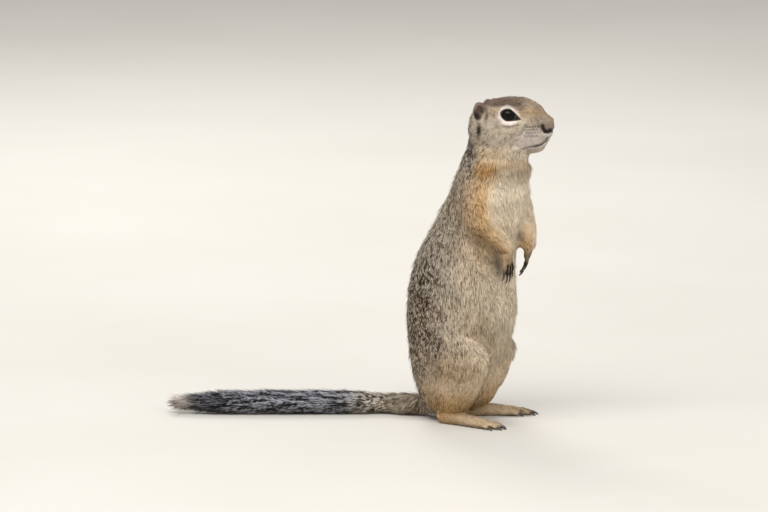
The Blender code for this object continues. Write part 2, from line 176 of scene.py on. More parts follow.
def writePoints(mesh, points):
    mesh.vertices.foreach_set("co", points.astype(np.float32).ravel())
    mesh.update()


def store(mesh, name, kind, values):
    field = {"FLOAT": "value", "FLOAT_VECTOR": "vector", "FLOAT_COLOR": "color"}[kind]
    attribute = mesh.attributes.new(name, kind, "POINT")
    attribute.data.foreach_set(field, np.asarray(values, np.float32).ravel())


def unit(vectors):
    return vectors / np.maximum(np.linalg.norm(vectors, axis=-1, keepdims=True), 1e-9)


def ramp(values, low, high):  # 0 below low, 1 above high, smooth between
    t = np.clip((values - low) / (high - low), 0, 1)
    return t * t * (3 - 2 * t)


def bump(distance, reach):  # 1 at the middle, falling softly
    return np.exp(-(distance / reach) ** 2)


def blob(spots, middle, reach):  # the same round a point, with its reach along each axis
    return bump(np.linalg.norm((spots - middle) / reach, axis=1), 1)


headTurn = math.radians(bodyPlan["headTurn"])
headAxes = np.array([
    (math.cos(headTurn), math.sin(headTurn), 0),
    (-math.sin(headTurn), math.cos(headTurn), 0),
    (0, 0, 1),
])


def inHead(points):  # metres in the frame to millimetres forward, left and up in the head
    spots = (points / mm - np.array(bodyPlan["headPivot"])) @ headAxes.T
    spots[:, 0] += bodyPlan["headBack"]
    return spots


def fromHead(spots):
    away = np.array(spots, float)
    away[..., 0] -= bodyPlan["headBack"]
    return (away @ headAxes + np.array(bodyPlan["headPivot"])) * mm


# The opening of the lids: an almond round the eye, drawn out into a tear corner that dips forward.
lids = {
    "back": 6.2,  # from the middle of the opening to the back corner
    "front": 10.0,  # and to the tear corner
    "above": 4.7,  # from there up to the upper lid
    "below": 4.3,
    "round": 1.75,  # how round the back is: 2 is an ellipse, 1 is straight
    "roundAbove": 1.4,  # towards the tear corner the lids run nearly straight
    "roundBelow": 1.2,
    "shift": 0.25,  # the opening sits this much behind the middle of the eyeball
    "dip": 18,  # degrees
    "rim": 0.55,  # how far the lids stand off the eyeball
    "under": 0.9,  # how far the skin passes under it
}


def eyeFacing(side):
    ahead, out, up = bodyPlan["eyeFacing"]
    return unit(np.array((ahead, side * out, up)))


def eyePlace(spots, side):  # forward, up and out from the middle of one eye
    facing = eyeFacing(side)
    dip = math.radians(lids["dip"])
    forward = np.array((math.cos(dip), 0, -math.sin(dip)))
    forward = unit(forward - facing * (forward @ facing))
    upward = np.cross(forward, facing) * side
    if upward[2] < 0:
        upward = -upward
    along, out, up = bodyPlan["eye"]
    away = spots - np.array((along, side * out, up))
    return away, away @ forward + lids["shift"], away @ upward, away @ facing


def lidMeasure(spots, side):  # 1 on the edge of the lids, less inside; then mm beyond that edge
    away, forward, upward, outward = eyePlace(spots, side)
    height = np.abs(upward / np.where(upward > 0, lids["above"], lids["below"]))
    sharp = np.where(upward > 0, lids["roundAbove"], lids["roundBelow"])
    blunt = lids["round"]
    back = (np.abs(forward / lids["back"]) ** blunt + height ** blunt) ** (1 / blunt)
    front = (np.abs(forward) / lids["front"] + height ** sharp) ** (1 / sharp)
    measure = np.where(forward < 0, back, front)
    measure = np.where(outward > 0, measure, 9)
    beyond = np.hypot(forward, upward) * (1 - 1 / np.maximum(measure, 0.05))
    return measure, away, forward, upward, np.where(outward > 0, beyond, 99)


skinLook = {
    "swell": 0.4,  # each solid grows by this, in mm, so the cuts between them close
    "pawSwell": 0.12,
    "voxel": 0.7,
    "keep": 0.22,  # share of the faces kept where the coat hides them
    "thinHead": 0.35,  # how much of that thinning reaches the head and the paws
    "seamRounds": 26,  # the flesh is smoothed this often where two solids met
    "seamPull": 1.5,
    "tailCore": 0.42,  # the tail's core against its outline
    "tailShort": 0.27,  # share of its last 60 mm that is hair alone
}


def buildSkin():
    copies = []
    owners = []
    for number, part in enumerate(partNames):
        for name in bodyParts[part]["nodes"]:
            piece = copyNode(name, "raw_" + name)
            swell = skinLook["pawSwell"] if part in ("foot", "hand") else skinLook["swell"]
            applyModifier(piece, "DISPLACE", strength=swell * mm, mid_level=0)
            owners += [number] * len(piece.data.polygons)
            copies.append(piece)
    points = []
    faces = []
    for piece in copies:
        start = len(points)
        points += [v.co.copy() for v in piece.data.vertices]
        faces += [[start + i for i in f.vertices] for f in piece.data.polygons]
    whole = BVHTree.FromPolygons(points, faces)
    select(*copies)
    bpy.ops.object.join()
    skin = copies[0]
    skin.name = "skin"
    skin.data.name = "skin"
    applyModifier(skin, "REMESH", mode="VOXEL", voxel_size=skinLook["voxel"] * mm)
    applyModifier(skin, "SMOOTH", factor=0.5, iterations=2)

    # Where the coat is long the skin can be coarse: head and paws keep their faces.
    spots = readPoints(skin.data)
    fine = skin.vertex_groups.new(name="fine")
    near = np.zeros(len(spots), bool)
    for name in ("head", "hand_left", "hand_right", "foot_left", "foot_right"):
        low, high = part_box(name)
        near |= np.all((spots > np.array(low) - 2 * mm) & (spots < np.array(high) + 2 * mm), axis=1)
    fine.add(np.nonzero(~near)[0].tolist(), 1, "REPLACE")
    fine.add(np.nonzero(near)[0].tolist(), skinLook["thinHead"], "REPLACE")
    applyModifier(skin, "DECIMATE", ratio=skinLook["keep"], vertex_group="fine")
    return skin, whole, np.array(owners)


def refine(skin, chosen):  # splits the chosen faces once, so small folds have something to bend
    select(skin)
    enterEdit("DESELECT")
    leaveEdit()
    skin.data.vertices.foreach_set("select", chosen)
    bpy.ops.object.mode_set(mode="EDIT")
    bpy.ops.mesh.select_mode(type="VERT")
    bpy.ops.mesh.subdivide(number_cuts=1)
    bpy.ops.mesh.quads_convert_to_tris()
    bpy.ops.mesh.select_all(action="DESELECT")
    leaveEdit()


def ringOf(mesh):  # both ends of every edge, and how many edges meet at each point
    ends = readRows(mesh.edges, "vertices", 2, np.int32)
    one = np.concatenate((ends[:, 0], ends[:, 1]))
    other = np.concatenate((ends[:, 1], ends[:, 0]))
    meets = np.bincount(one, minlength=len(mesh.vertices))
    return one, other, np.maximum(meets, 1)


def soften(values, ring, times):  # moves each value towards the mean of its neighbours
    one, other, meets = ring
    values = np.array(values, float)
    for _ in range(times):
        for column in range(values.shape[1]):
            mean = np.bincount(one, values[other, column], minlength=len(values)) / meets
            values[:, column] += (mean - values[:, column]) * 0.6
    return values


tailTurn = math.radians(bodyPlan["tailTurn"])
tailAlong = np.array((-math.cos(tailTurn), -math.sin(tailTurn), 0))


def tailLine(points):  # millimetres past the tail's bend, and the nearest point of its middle line
    bend = np.array((*bodyPlan["tailBend"], bodyPlan["tailMiddle"]))
    past = (points / mm - bend) @ tailAlong
    middle = bend + np.clip(past, -30, 190)[:, None] * tailAlong
    before = np.clip(past, -30, 0)
    middle[:, 1] += before * 0.32  # the root of the tail comes out of the rump nearly straight
    return past, middle * mm


# A fold runs between each two digits, from the claws' roots back towards the wrist or ankle.
digitForms = {
    "hand": {"claws": 4, "long": 7.5, "way": (0, 0, -1)},
    "foot": {"claws": 5, "long": 9.0, "way": (1, 0, 0)},
}
digitFolds = {"depth": 1.0, "wide": 0.7}


def digitGaps(points):  # mm to the nearest fold between digits, and to the nearest claw root
    gap = np.full(len(points), 99.0)
    claw = np.full(len(points), 99.0)
    for limb, form in digitForms.items():
        way = np.array(form["way"], float)
        for side in ("left", "right"):
            low, high = (np.array(corner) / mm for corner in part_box(f"{limb}_{side}"))
            back = (low + high) / 2 - way * (high - low) / 2
            roots = []
            for number in range(1, form["claws"] + 1):
                low, high = (np.array(corner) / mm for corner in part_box(f"claw_{limb}_{side}_{number}"))
                roots.append((low + high) / 2 - way * (high - low) / 2)
            across = np.cross(way, (0, 0, 1)) if limb == "foot" else np.array((0.4, 1, 0))
            roots.sort(key=lambda root: root @ across)
            for root in roots:
                claw = np.minimum(claw, np.linalg.norm(points / mm - root, axis=1))
            for one, other in zip(roots[:-1], roots[1:]):
                middle = (one + other) / 2
                run = unit(middle - back)
                row = unit(other - one - run * ((other - one) @ run))
                away = points / mm - middle
                past = away @ run
                reach = np.linalg.norm(away - past[:, None] * run, axis=1)
                aside = np.abs(away @ row) + 9 * (reach > 6)
                aside += np.clip(-past - form["long"], 0, None) + np.clip(past - 4, 0, None)
                gap = np.minimum(gap, aside)
    return gap, claw


skin, wholeTree, faceOwners = buildSkin()
print("skin joined:", len(skin.data.polygons), "faces")

spots = inHead(readPoints(skin.data))
forward, left, up = spots.T
nearEye = np.minimum(lidMeasure(spots, 1)[0], lidMeasure(spots, -1)[0]) < 2.2
nearNose = (forward > 54) & (forward < 80) & (np.abs(left) < 30) & (up > -25)
nearMouth = (forward > 40) & (forward <= 54) & (np.abs(up + 18) < 5)
refine(skin, nearEye | nearNose | nearMouth | (digitGaps(readPoints(skin.data))[1] < 9))

points = readPoints(skin.data)
ring = ringOf(skin.data)
owners = np.array([faceOwners[wholeTree.find_nearest(Vector(p))[2]] for p in points])
belongs = np.zeros((len(points), len(partNames)))
belongs[np.arange(len(points)), owners] = 1
softer = soften(belongs, ring, 14)
ears = partNames.index("ear")
tails = partNames.index("tail")
softest = soften(softer, ring, 50)
softest[:, ears] = softer[:, ears]
softest /= softest.sum(1, keepdims=True)


def shareOf(*names):  # how far each point of the skin belongs to these parts
    return sum(softer[:, partNames.index(name)] for name in names)


# Where two solids met the flesh runs on smoothly.
seam = np.clip((0.93 - softer.max(1)) * 2.6, 0, 1)[:, None]
seam *= 1 - np.clip(softer[:, ears] * 3, 0, 1)[:, None]
for _ in range(skinLook["seamRounds"]):
    points += (soften(points, ring, 1) - points) * seam * skinLook["seamPull"]
writePoints(skin.data, points)
normals = unit(soften(readNormals(skin.data), ring, 3))

# The coat's depth comes off the outline, and the tail keeps only its core.
depth = softer @ np.array([part["depth"] for part in bodyParts.values()])
past, middle = tailLine(points)
core = np.clip(softer[:, tails] * 1.6 - 0.3, 0, 1)[:, None] * ramp(past, -28, 12)[:, None]
inset = points - normals * (depth * mm)[:, None]
slim = skinLook["tailCore"] * (1 - 0.55 * ramp(past, 120, 189))
thin = middle + (points - middle) * slim[:, None]
thin -= (np.clip(past - 130, 0, None) * skinLook["tailShort"])[:, None] * tailAlong * mm
points = inset + (thin - inset) * core

# Where the flesh is slimmer still, in mm.
slimming = {
    "throat": ((205, 2.9), (179, 1.7)),  # height over the ground, and how much there
    "throatReach": 7,
    "arms": 3.8,  # off the underside of the forearms
    "jaw": 1.1,  # the groove under the jaw
    "jawReach": 3.2,
    "jawLine": (210, 100, 0.3),  # its height, at this far forward, and how steeply it rises
}


def jawLine(points):  # mm above the line where the jaw meets the throat, which rises forward
    x, y, z = points.T / mm
    high, ahead, rise = slimming["jawLine"]
    return z - high - rise * (0.906 * x + 0.423 * np.abs(y - bodyPlan["middle"]) - ahead)


throat = sum(bump((points[:, 2] / mm - high) / slimming["throatReach"], 1) * much
             for high, much in slimming["throat"])
throat *= ramp(normals[:, 0], 0.3, 0.9) * shareOf("neck", "trunk")
points[:, 0] -= throat * mm
arms = shareOf("forearm") + 0.5 * shareOf("upperArm")
arms *= ramp(-normals[:, 2], -0.1, 0.6) * (1 - ramp(points[:, 0] / mm, 114, 124))
points[:, 2] += arms * slimming["arms"] * mm
jawFold = bump(jawLine(points), slimming["jawReach"]) * ramp(normals[:, 0], -0.2, 0.2)
jawFold *= (1 - 0.8 * ramp(normals[:, 0], 0.7, 0.95)) * shareOf("neck", "head")
points -= normals * (jawFold * slimming["jaw"] * mm)[:, None]


# The forms of the head, in its own millimetres forward, left and up.
headForms = {
    "mouth": [(44, -17.6), (49, -16.2), (54, -15.6), (58.5, -14.6), (61.5, -12.3), (63.5, -8.5)],
    "mouthDepth": 1.1,
    "philtrum": 0.6,
    "chin": 2.2,  # how much fuller the lower jaw is in front
    "bridge": 1.9,  # how far the bridge dips behind the nose
    "nostril": [(59.6, 1), (60.2, -1.4), (61.8, -3.6), (64, -4.3), (65.6, -3)],
    "nostrilDepth": 1.4,
    "wing": 0.4,  # how far the nose swells round its nostrils
    "pad": 0.7,  # and the whisker pads
    "brow": 0.8,
    "pinch": 0.32,  # share that the muzzle narrows towards the nose
}
whiskerRoots = [(row, place, 56.8 - place * 2.1 - (row % 2), 1 - row * 2.4)
                for row in range(4) for place in range(5)]


def nearLine(spots, line):  # distance to a bent line in the side view of the head
    side = spots[:, [0, 2]]
    best = np.full(len(spots), 99.0)
    for start, end in zip(line[:-1], line[1:]):
        start = np.array(start, float)
        run = np.array(end, float) - start
        t = np.clip((side - start) @ run / (run @ run), 0, 1)
        best = np.minimum(best, np.linalg.norm(side - start - t[:, None] * run, axis=1))
    return best


def shapeHead(points, normals):
    spots = inHead(points)
    isHead = shareOf("head") > 0.25
    pinch = 1 - headForms["pinch"] * ramp(spots[:, 0], 50, 66)
    spots[:, 1] = np.where(isHead, spots[:, 1] * pinch, spots[:, 1])
    inward = -(normals @ headAxes.T)
    fuller = blob(spots, (56, 0, -19), (8, 9, 5)) * headForms["chin"]
    fuller -= blob(spots, (59, 0, 10), (6, 9, 4.5)) * headForms["bridge"]
    spots = spots - inward * (fuller * isHead)[:, None]
    forward, left, up = spots.T
    # mouth: a fine groove that follows the lip up to the nose
    groove = bump(nearLine(spots, headForms["mouth"]), 0.85) * headForms["mouthDepth"]
    philtrum = bump(left, 0.7) * ramp(forward, 60, 64) * ramp(-up, 2, 5) * headForms["philtrum"]
    # nostrils: each a hook that runs round the wing of the nose
    hook = nearLine(spots, headForms["nostril"])
    pit = bump(hook, 1.25) * headForms["nostrilDepth"]
    wing = bump(hook - 2.6, 1.2) * headForms["wing"] * ramp(forward, 57, 61)
    # whisker pad and brow swell a little
    pad = blob(np.abs(spots), (52, 11, 6), (7, 6, 5)) * headForms["pad"] * ramp(-up, 0, 4)
    brow = blob(np.abs(spots), (34, 15, 17.5), (8, 4, 2.4)) * headForms["brow"]
    move = (groove + philtrum + pit - wing - pad - brow) * isHead
    spots = spots + inward * move[:, None]
    # the skin passes under the eyeball inside the lids, and stands up round it at their rim
    radius = bodyPlan["eyeRadius"]
    for side in (-1, 1):
        measure, away, ahead = lidMeasure(spots, side)[:3]
        distance = np.linalg.norm(away, axis=1)
        edge = ramp(measure, 0.98, 1.1)
        target = radius - lids["under"] + edge * (lids["under"] + lids["rim"])
        corner = np.minimum(target + 9, distance - 0.5 * (1 - edge))
        target = np.where(ahead > radius - 0.6, corner, target)
        hold = 1 - ramp(measure, 1.25, 2.0)
        hold = np.where(measure < 1, 1, hold * (1 - ramp(ahead, 4.6, 7)))
        reach = distance + (target - distance) * hold
        moved = spots - away + away * (reach / distance)[:, None]
        spots = np.where((measure < 2.2)[:, None] & isHead[:, None], moved, spots)
    return np.where(isHead[:, None], fromHead(spots), points)


points = shapeHead(points, normals)
pawShare = np.clip(shareOf("hand", "foot") * 1.4, 0, 1)
digitFold = bump(digitGaps(points)[0], digitFolds["wide"]) * digitFolds["depth"] * pawShare
points -= normals * (digitFold * mm)[:, None]
writePoints(skin.data, points)
select(skin)
bpy.ops.object.shade_smooth()
enterEdit()
bpy.ops.uv.smart_project(angle_limit=1.15, island_margin=0.004)
leaveEdit()
skin.data.uv_layers[0].name = "OFBake"
skin.vertex_groups.clear()
print("skin shaped:", len(skin.data.polygons), "faces")


# Eight marks say where each colour of the coat is, for skin and locks alike; the dark mark also carries
# painted shade.
markNames = ["back", "ochre", "cream", "tail", "crown", "white", "bare", "dark"]

# How strong the main marks are, from 0 to 1.
markShares = {
    "rump": 0.34, "thighFlecks": 0.4, "nape": 0.9, "cheekFlecks": 0.42,  # flecks like the back's
    "shoulder": 0.6, "collar": 0.6, "upperArm": 0.78, "forearm": 0.65, "hand": 0.5,  # ochre
    "foot": 0.42, "legs": (0.36, 0.5), "brow": 0.26, "nose": 0.25, "jawCorner": 0.45,
    "knee": 0.22, "shin": 0.4, "chin": 0.14, "earRim": 0.85,  # cream
    "muzzle": 0.78, "eyeRing": (0.72, 0.26),  # white, above the eye, and how much more below it
    "browCrown": 0.3, "bridgeCrown": 0.48,  # dark crown
    "handDark": 0.5, "jawDark": 0.47, "foldShade": 0.22, "ankleDark": 0.27, "armDark": 0.4,  # dark
    "tailDark": 0.55, "rootDarkAndShade": 0.45, "armpitShade": 0.6, "padStreak": 0.42, "underEye": 0.55,
    "earPatch": 0.5, "earBase": 0.75, "clawRoot": 0.4, "specks": 0.8,
}
underArmShade = [  # painted shade on the fur below each forearm: forward, up and reach in mm, then how dark
    (93, 142, 4.5, 3.5, 0.6),
    (101, 137, 6, 4.5, 0.85),
    (105.5, 131, 3.5, 7, 0.6),
]


def markings(points, normals, belongs):  # the eight marks at each point, each from 0 to 1
    isHead, isEar, isNeck, isTrunk, isThigh, isShank, isFoot = belongs.T[:7]
    isUpperArm, isForearm, isHand, isTail = belongs.T[7:]
    share = markShares
    x, y, z = points.T / mm
    spots = inHead(points)
    forward, left, up = spots.T
    side = np.abs(left)
    ahead, out, down = normals[:, 0], np.abs(y - bodyPlan["middle"]), -normals[:, 2]
    wave = np.sin(x * 0.31 + 1) * np.sin(y * 0.27 + 2) + 0.6 * np.sin(z * 0.23 + x * 0.17 + y * 0.2)
    body = isTrunk + isNeck + isThigh + 0.3 * isUpperArm
    arms = isUpperArm + isForearm
    legs = isShank + isThigh
    facing = ahead + wave * 0.06
    height = ramp(z, 150, 215)

    # body: flecked back, pale belly, ochre shoulders, collar and legs
    edge = -0.06 - 0.12 * height - 0.24 * (1 - ramp(z, 44, 74))
    back = body * (1 - ramp(facing, edge - 0.26, edge + 0.24))
    back *= 1 - 0.34 * ramp(z, 112, 150) * (1 - ramp(z, 196, 216))
    rump = ramp(-z, -92, -66) * ramp(z, 44, 58)
    back = np.maximum(back, body * share["rump"] * rump * (1 - ramp(facing, 0.1, 0.5)))
    back = np.maximum(back, isThigh * share["thighFlecks"] * ramp(z, 46, 64))
    belly = body * ramp(facing, 0.55 - 0.47 * height, 0.97 - 0.47 * height)
    paunch = body * 0.2 * ramp(facing, 0, 0.6) * (1 - height)
    belly = np.maximum(belly * (0.45 + 0.55 * ramp(z, 135, 180)), paunch)
    shoulder = bump(np.hypot(z - 184, (x - 98) * 1.2), 27) * (1 - back) * (1 - belly) * (isTrunk + isNeck)
    # less cream high on the throat: painted shadow under the chin
    belly *= 1 - 0.5 * ramp(z + wave * 2, 192, 212)
    collar = isNeck * (1 - back) * (1 - belly)
    ochre = isUpperArm * share["upperArm"] * (1 - back) + isForearm * share["forearm"]
    ochre += shoulder * share["shoulder"]
    # the ochre collar, and an ochre tint on the throat's cream that is painted shadow under the chin
    ochre += (collar * share["collar"] + isNeck * belly * 0.2) * ramp(-z + wave, -222, -212)
    hindLeg = isShank + (isThigh + 0.4 * isTrunk) * (1 - back)
    upper, lower = share["legs"]
    ochre += hindLeg * (ramp(-z + wave * 3, -78, -50) * upper + ramp(-z + wave * 3, -50, -14) * lower)
    jawShade = (isNeck + isHead) * bump(jawLine(points) + 4.2, 5) * ramp(facing, -0.3, 0.2)
    # painted shade in the fold between the thigh and the belly, dark with an ochre tint
    thighFoldShade = np.clip(5 * isThigh * isTrunk, 0, 1) ** 2 * ramp(facing, 0.05, 0.5) * bump(z - 66, 26)
    ochre += jawShade * 0.52 + thighFoldShade * 0.3 + body * back * 0.09 * (1 - ramp(z, 90, 130))
    ochre += isFoot * (share["foot"] + 0.35 * ramp(-x, -92, -70)) + isHand * share["hand"]
    cream = belly + isFoot * 0.05 + isForearm * ramp(ahead, 0.3, 1.0) * 0.5
    cream += legs * share["knee"] * bump(z - 50, 14) * ramp(facing, 0.3, 0.8)
    cream += legs * share["shin"] * bump(z - 31, 10)
    cream += arms * 0.14 * ramp(y, 24, 34) * ramp(ahead, -0.2, 0.6)
    dark = isHand * (share["handDark"] + 0.2 * ramp(y, 20, 28))
    dark += jawShade * share["jawDark"] + thighFoldShade * share["foldShade"]
    # darker at the ankles, and painted shade over the far leg and foot
    dark += (legs + isFoot * 0.5) * (share["ankleDark"] * (1 - ramp(z, 9, 24)) + 0.1 * ramp(y, 28, 40))
    # painted shade on the undersides of the arms, where they face down
    dark += (isUpperArm * 0.3 + isForearm) * ramp(down, 0.2, 0.75) * share["armDark"]
    aslant = 0.906 * x + 0.423 * (bodyPlan["middle"] - out)
    # painted shade on the trunk and forearm below each forearm
    for near, high, wide, tall, much in underArmShade:
        away = np.hypot((aslant - near) / wide, (z - high) / tall)
        dark += (isTrunk + 0.4 * isForearm) * bump(away, 1) * much
    # painted shade in the far armpit, between the arm and the chest
    armpit = np.linalg.norm(points / mm - (123, 26, 155), axis=1)
    dark += (isTrunk + arms) * bump(armpit, 5) * share["armpitShade"]

    # tail: grey and black, blacker towards its pale tip; its root is coloured as the back
    tail = isTail * ramp(-x + wave * 4, -8, 32)
    back = np.maximum(back, isTail * 0.9)
    past = tailLine(points)[0]
    tailTip = isTail * ramp(past + wave * 4, 158, 172)
    # painted shade low on the rump, round the root of the tail
    root = bump(np.hypot(np.hypot(x - 34, (y - 12) * 0.6) / 16, (z - 14) / 22), 1)
    dark += isTail * share["tailDark"] * ramp(past, 118, 146) * (1 - tailTip)
    dark += body * root * share["rootDarkAndShade"]

    # head: dark crown, flecked nape and cheek, ochre brow, pale muzzle and chin
    head = isHead + isEar
    behind = 7 * (1 - ramp(forward, 4, 22))
    crown = head * ramp(up + wave * 1.5 + forward * 0.04 + behind, 13, 20)
    crown *= (1 - 0.42 * ramp(forward, 38, 52)) * (0.55 + 0.45 * ramp(forward + wave, -2, 14))
    nape = head * (1 - ramp(forward, 1, 9)) * ramp(up, -34, -26)
    cheek = head * ramp(forward, 8, 16) * (1 - ramp(forward, 40, 50))
    cheek *= ramp(-up, -12, 0) * (1 - ramp(-up, 14, 22))
    back = np.clip(back + np.maximum(nape * share["nape"], cheek * share["cheekFlecks"]), 0, 1)
    brow = head * ramp(up, 7, 12) * (1 - crown)
    ochre += head * share["nose"] * bump(up - 12, 5) * ramp(forward, 36, 44)
    jawCorner = ramp(-up, 13, 23) * ramp(forward, 2, 12) * (1 - ramp(forward, 20, 44))
    ochre += head * share["jawCorner"] * jawCorner
    ochre += brow * share["brow"]
    bridge = head * ramp(forward, 46, 56) * ramp(up, -3, 3)
    muzzle = head * ramp(forward - 0.4 * up, 40, 49) * (1 - ramp(up, -2, 6)) * ramp(up, -19, -16)
    chin = head * ramp(-up, 16, 19) * ramp(forward, 30, 44)
    cream += cheek * 0.15 + chin * share["chin"] + muzzle * 0.1
    crown = np.maximum(crown, brow * share["browCrown"])
    crown = np.maximum(crown, bridge * share["bridgeCrown"])
    white = tailTip + muzzle * share["muzzle"] * ramp(-up, -2, 6) + chin * 0.25 * ramp(forward, 40, 50)
    streak = nearLine(spots, [(47.5, 2.6), (45.5, -0.8), (44.3, -4)])
    dark += head * bump(streak, 1.25) * share["padStreak"] * (side > 4)
    bare = np.zeros(len(points))
    for turn in (-1, 1):
        # eye: bare black lids in a white ring, wider above and below, with dark hair under it
        fore, rise, beyond = lidMeasure(spots, turn)[2:]
        wide = 1.5 + 1.2 * ramp(rise, 0, 4) + 1.5 * ramp(-rise, 1, 4) - 1.3 * ramp(fore, 6, 10)
        wide -= 0.5 * ramp(-fore, 3, 6)
        above, more = share["eyeRing"]
        much = (above + more * ramp(-rise, -2, 2)) * (1 - 0.4 * ramp(fore, 7, 11))
        eyeRing = ramp(beyond, 0.3, 1.0) * (1 - ramp(beyond, wide - 0.3, wide + 1.9))
        white = np.maximum(white, head * eyeRing * much)
        dark += head * (1 - ramp(beyond, 0.3, 0.75)) * 1.2
        under = bump(beyond - 4.8, 0.75) * ramp(-rise, 3, 5) * ramp(fore, -4, 1) * (1 - ramp(fore, 11, 14))
        dark += head * under * share["underEye"]
        bare += head * (1 - ramp(beyond, 0.6, 1.2))
        # ear: painted shade in its hollow, deepest low at the front, a dark base, and a pale rim
        earAhead, earOut, earUp = bodyPlan["ears"][turn]
        fore, rise = forward - earAhead, up - earUp
        rim = np.hypot(fore / 5.2, rise / 8.4)
        shadedHollow = isEar * (left * turn > earOut - 1.5) * (1 - ramp(rim, 0.62, 0.84))
        dark += shadedHollow * (0.36 + 0.64 * ramp(-rise - fore, -1, 4))
        cream += isEar * ramp(rim, 0.84, 0.97) * share["earRim"]
        ochre += shadedHollow * 0.25
        dark += head * bump(np.hypot(fore - 6.5, (rise + 1) * 0.6), 1.6) * share["earPatch"]
        dark += head * bump(np.hypot(fore - 1, (rise + 12) * 0.5), 2.2) * share["earBase"]

    # mouth and nose: dark lips and nostrils, bare skin between them
    lip = nearLine(spots, headForms["mouth"])
    hook = nearLine(spots, headForms["nostril"])
    # the lip line is dark, and where it widens and darkens half way to the nose that is painted shade in its
    # groove
    dark += head * bump(lip, 0.75 + 0.45 * bump(forward - 56, 4)) * (0.4 + 0.6 * bump(forward - 55.5, 5))
    dark += head * bump(hook, 1.75) * 1.15
    nose = head * ramp(forward - 0.2 * np.abs(up - 1), 58.6, 61)
    nose *= ramp(up, -5.5, -4.2) * (1 - ramp(up, 1.5, 5.5))
    bare += nose + head * bump(lip, 0.8) * 0.5 + head * bump(hook, 1.2)
    dark += nose * 0.18
    dark += head * 0.25 * ramp(forward, 55, 60) * bump(up + 10.5, 3.2)  # the front of the lip is greyer
    bare += head * 0.45 * bump(np.hypot((forward - 50) * 0.4, up + 18.3), 1.3)  # the lower lip is nearly bare
    for row, place, fore, high in whiskerRoots:  # dark specks in rows on the pale muzzle
        dark += head * bump(np.hypot(forward - fore, up - high), 0.72) * share["specks"] * (side > 4)

    # paws: painted shade in the folds between the digits, and dark at the claws' roots
    gap, claw = digitGaps(points)
    dark += isHand * (bump(gap, 0.9) * 0.9 + share["clawRoot"] * (1 - ramp(claw, 1, 6)))
    dark += isFoot * bump(gap, 0.8) * 0.55
    return np.clip(np.stack((back, ochre, cream, tail, crown, np.clip(white, 0, 1), bare, dark), 1), 0, 1)


softNormals = unit(soften(readNormals(skin.data), ring, 12))
skinMarks = markings(points, softNormals, softest)


def storeMarks(mesh, marks, place, along, chance):
    store(mesh, "bodyMarks", "FLOAT_COLOR", marks[:, :4])
    store(mesh, "faceMarks", "FLOAT_COLOR", marks[:, 4:])
    store(mesh, "markPoint", "FLOAT_VECTOR", place)
    store(mesh, "along", "FLOAT", along)
    store(mesh, "chance", "FLOAT", chance)


storeMarks(skin.data, skinMarks, points, np.full(len(points), 0.4), np.full(len(points), 0.5))

# The way the hair lies: down the body, back from the nose over the head, and away from the eyes.
lie = softer @ np.array([part["lie"] for part in bodyParts.values()])
spots = inHead(points)
fromNose = unit(spots - np.array((70, 0, 0))) @ headAxes
headShare = shareOf("head", "ear")[:, None]
lie += fromNose * headShare * 1.4
for side in (-1, 1):
    measure, away = lidMeasure(spots, side)[:2]
    lie += (unit(away) @ headAxes) * (1.6 * (1 - ramp(measure, 1, 2.6)))[:, None] * headShare
lie[:, 0] += np.clip((readPoints(skin.data)[:, 2] / mm - 60) / 400, 0, 0.3) * shareOf("trunk")
lie = unit(soften(lie - softNormals * np.sum(lie * softNormals, 1, keepdims=True), ring, 10))

# Length and width of each part's locks in mm, and how steeply they rise in degrees. Single hairs are
# too fine to show, so each lock stands for many of them and is only as coarse as it needs to be.
lockSizes = {
    "head": (4.0, 0.50, 15),
    "ear": (1.2, 0.28, 13),
    "neck": (7.0, 0.62, 17),
    "trunk": (8.0, 0.70, 17),
    "thigh": (7.0, 0.66, 17),
    "shank": (4.6, 0.52, 17),
    "foot": (1.9, 0.34, 12),
    "upperArm": (5.2, 0.52, 17),
    "forearm": (3.6, 0.44, 15),
    "hand": (1.3, 0.26, 12),
    "tail": (16.0, 0.75, 23),
}
lockLook = {
    "widest": 0.42,  # share of its length from the root
    "flatness": 0.45,
    "vary": (0.75, 0.5),  # the least of the size or rise given, and the span above it
    "varyRise": (0.7, 0.6),
    "sway": 0.10,  # radians: in wide waves, in narrow ones and singly
    "loose": (0.07, 0.9),  # share of the hairs that stand off, and how much steeper they are
    "roll": 0.35,
    "droop": (0.45, 0.15),  # how far the tip bends back down, and how much less on the tail
    "muzzle": 0.62,  # how much shorter the hair is on the muzzle
    "byEye": 0.6,
    "sunk": 0.025,  # share of its length that the root is under the skin
    "ground": 0.05,  # mm that the hair keeps over the floor
    "softShade": 0.55,  # share of the shading that follows the body and not the lock
}
coatPieces = {
    "coat_face": {"parts": ["head"], "front": True, "locks": 24500, "slot": "coat"},
    "coat_head": {"parts": ["head", "ear"], "front": False, "locks": 22000, "slot": "coat"},
    "coat_neck": {"parts": ["neck"], "locks": 13000, "slot": "coat"},
    "coat_trunk_left": {"parts": ["trunk"], "side": 1, "locks": 22000, "slot": "coat"},
    "coat_trunk_right": {"parts": ["trunk"], "side": -1, "locks": 22000, "slot": "coat"},
    "coat_hind_legs": {"parts": ["thigh", "shank"], "locks": 24500, "slot": "coat"},
    "coat_forelegs": {"parts": ["upperArm", "forearm"], "locks": 15000, "slot": "coat"},
    "coat_paws": {"parts": ["foot", "hand"], "locks": 14000, "slot": "paw_coat"},
    "coat_tail": {"parts": ["tail"], "locks": 24500, "slot": "tail_coat"},
}


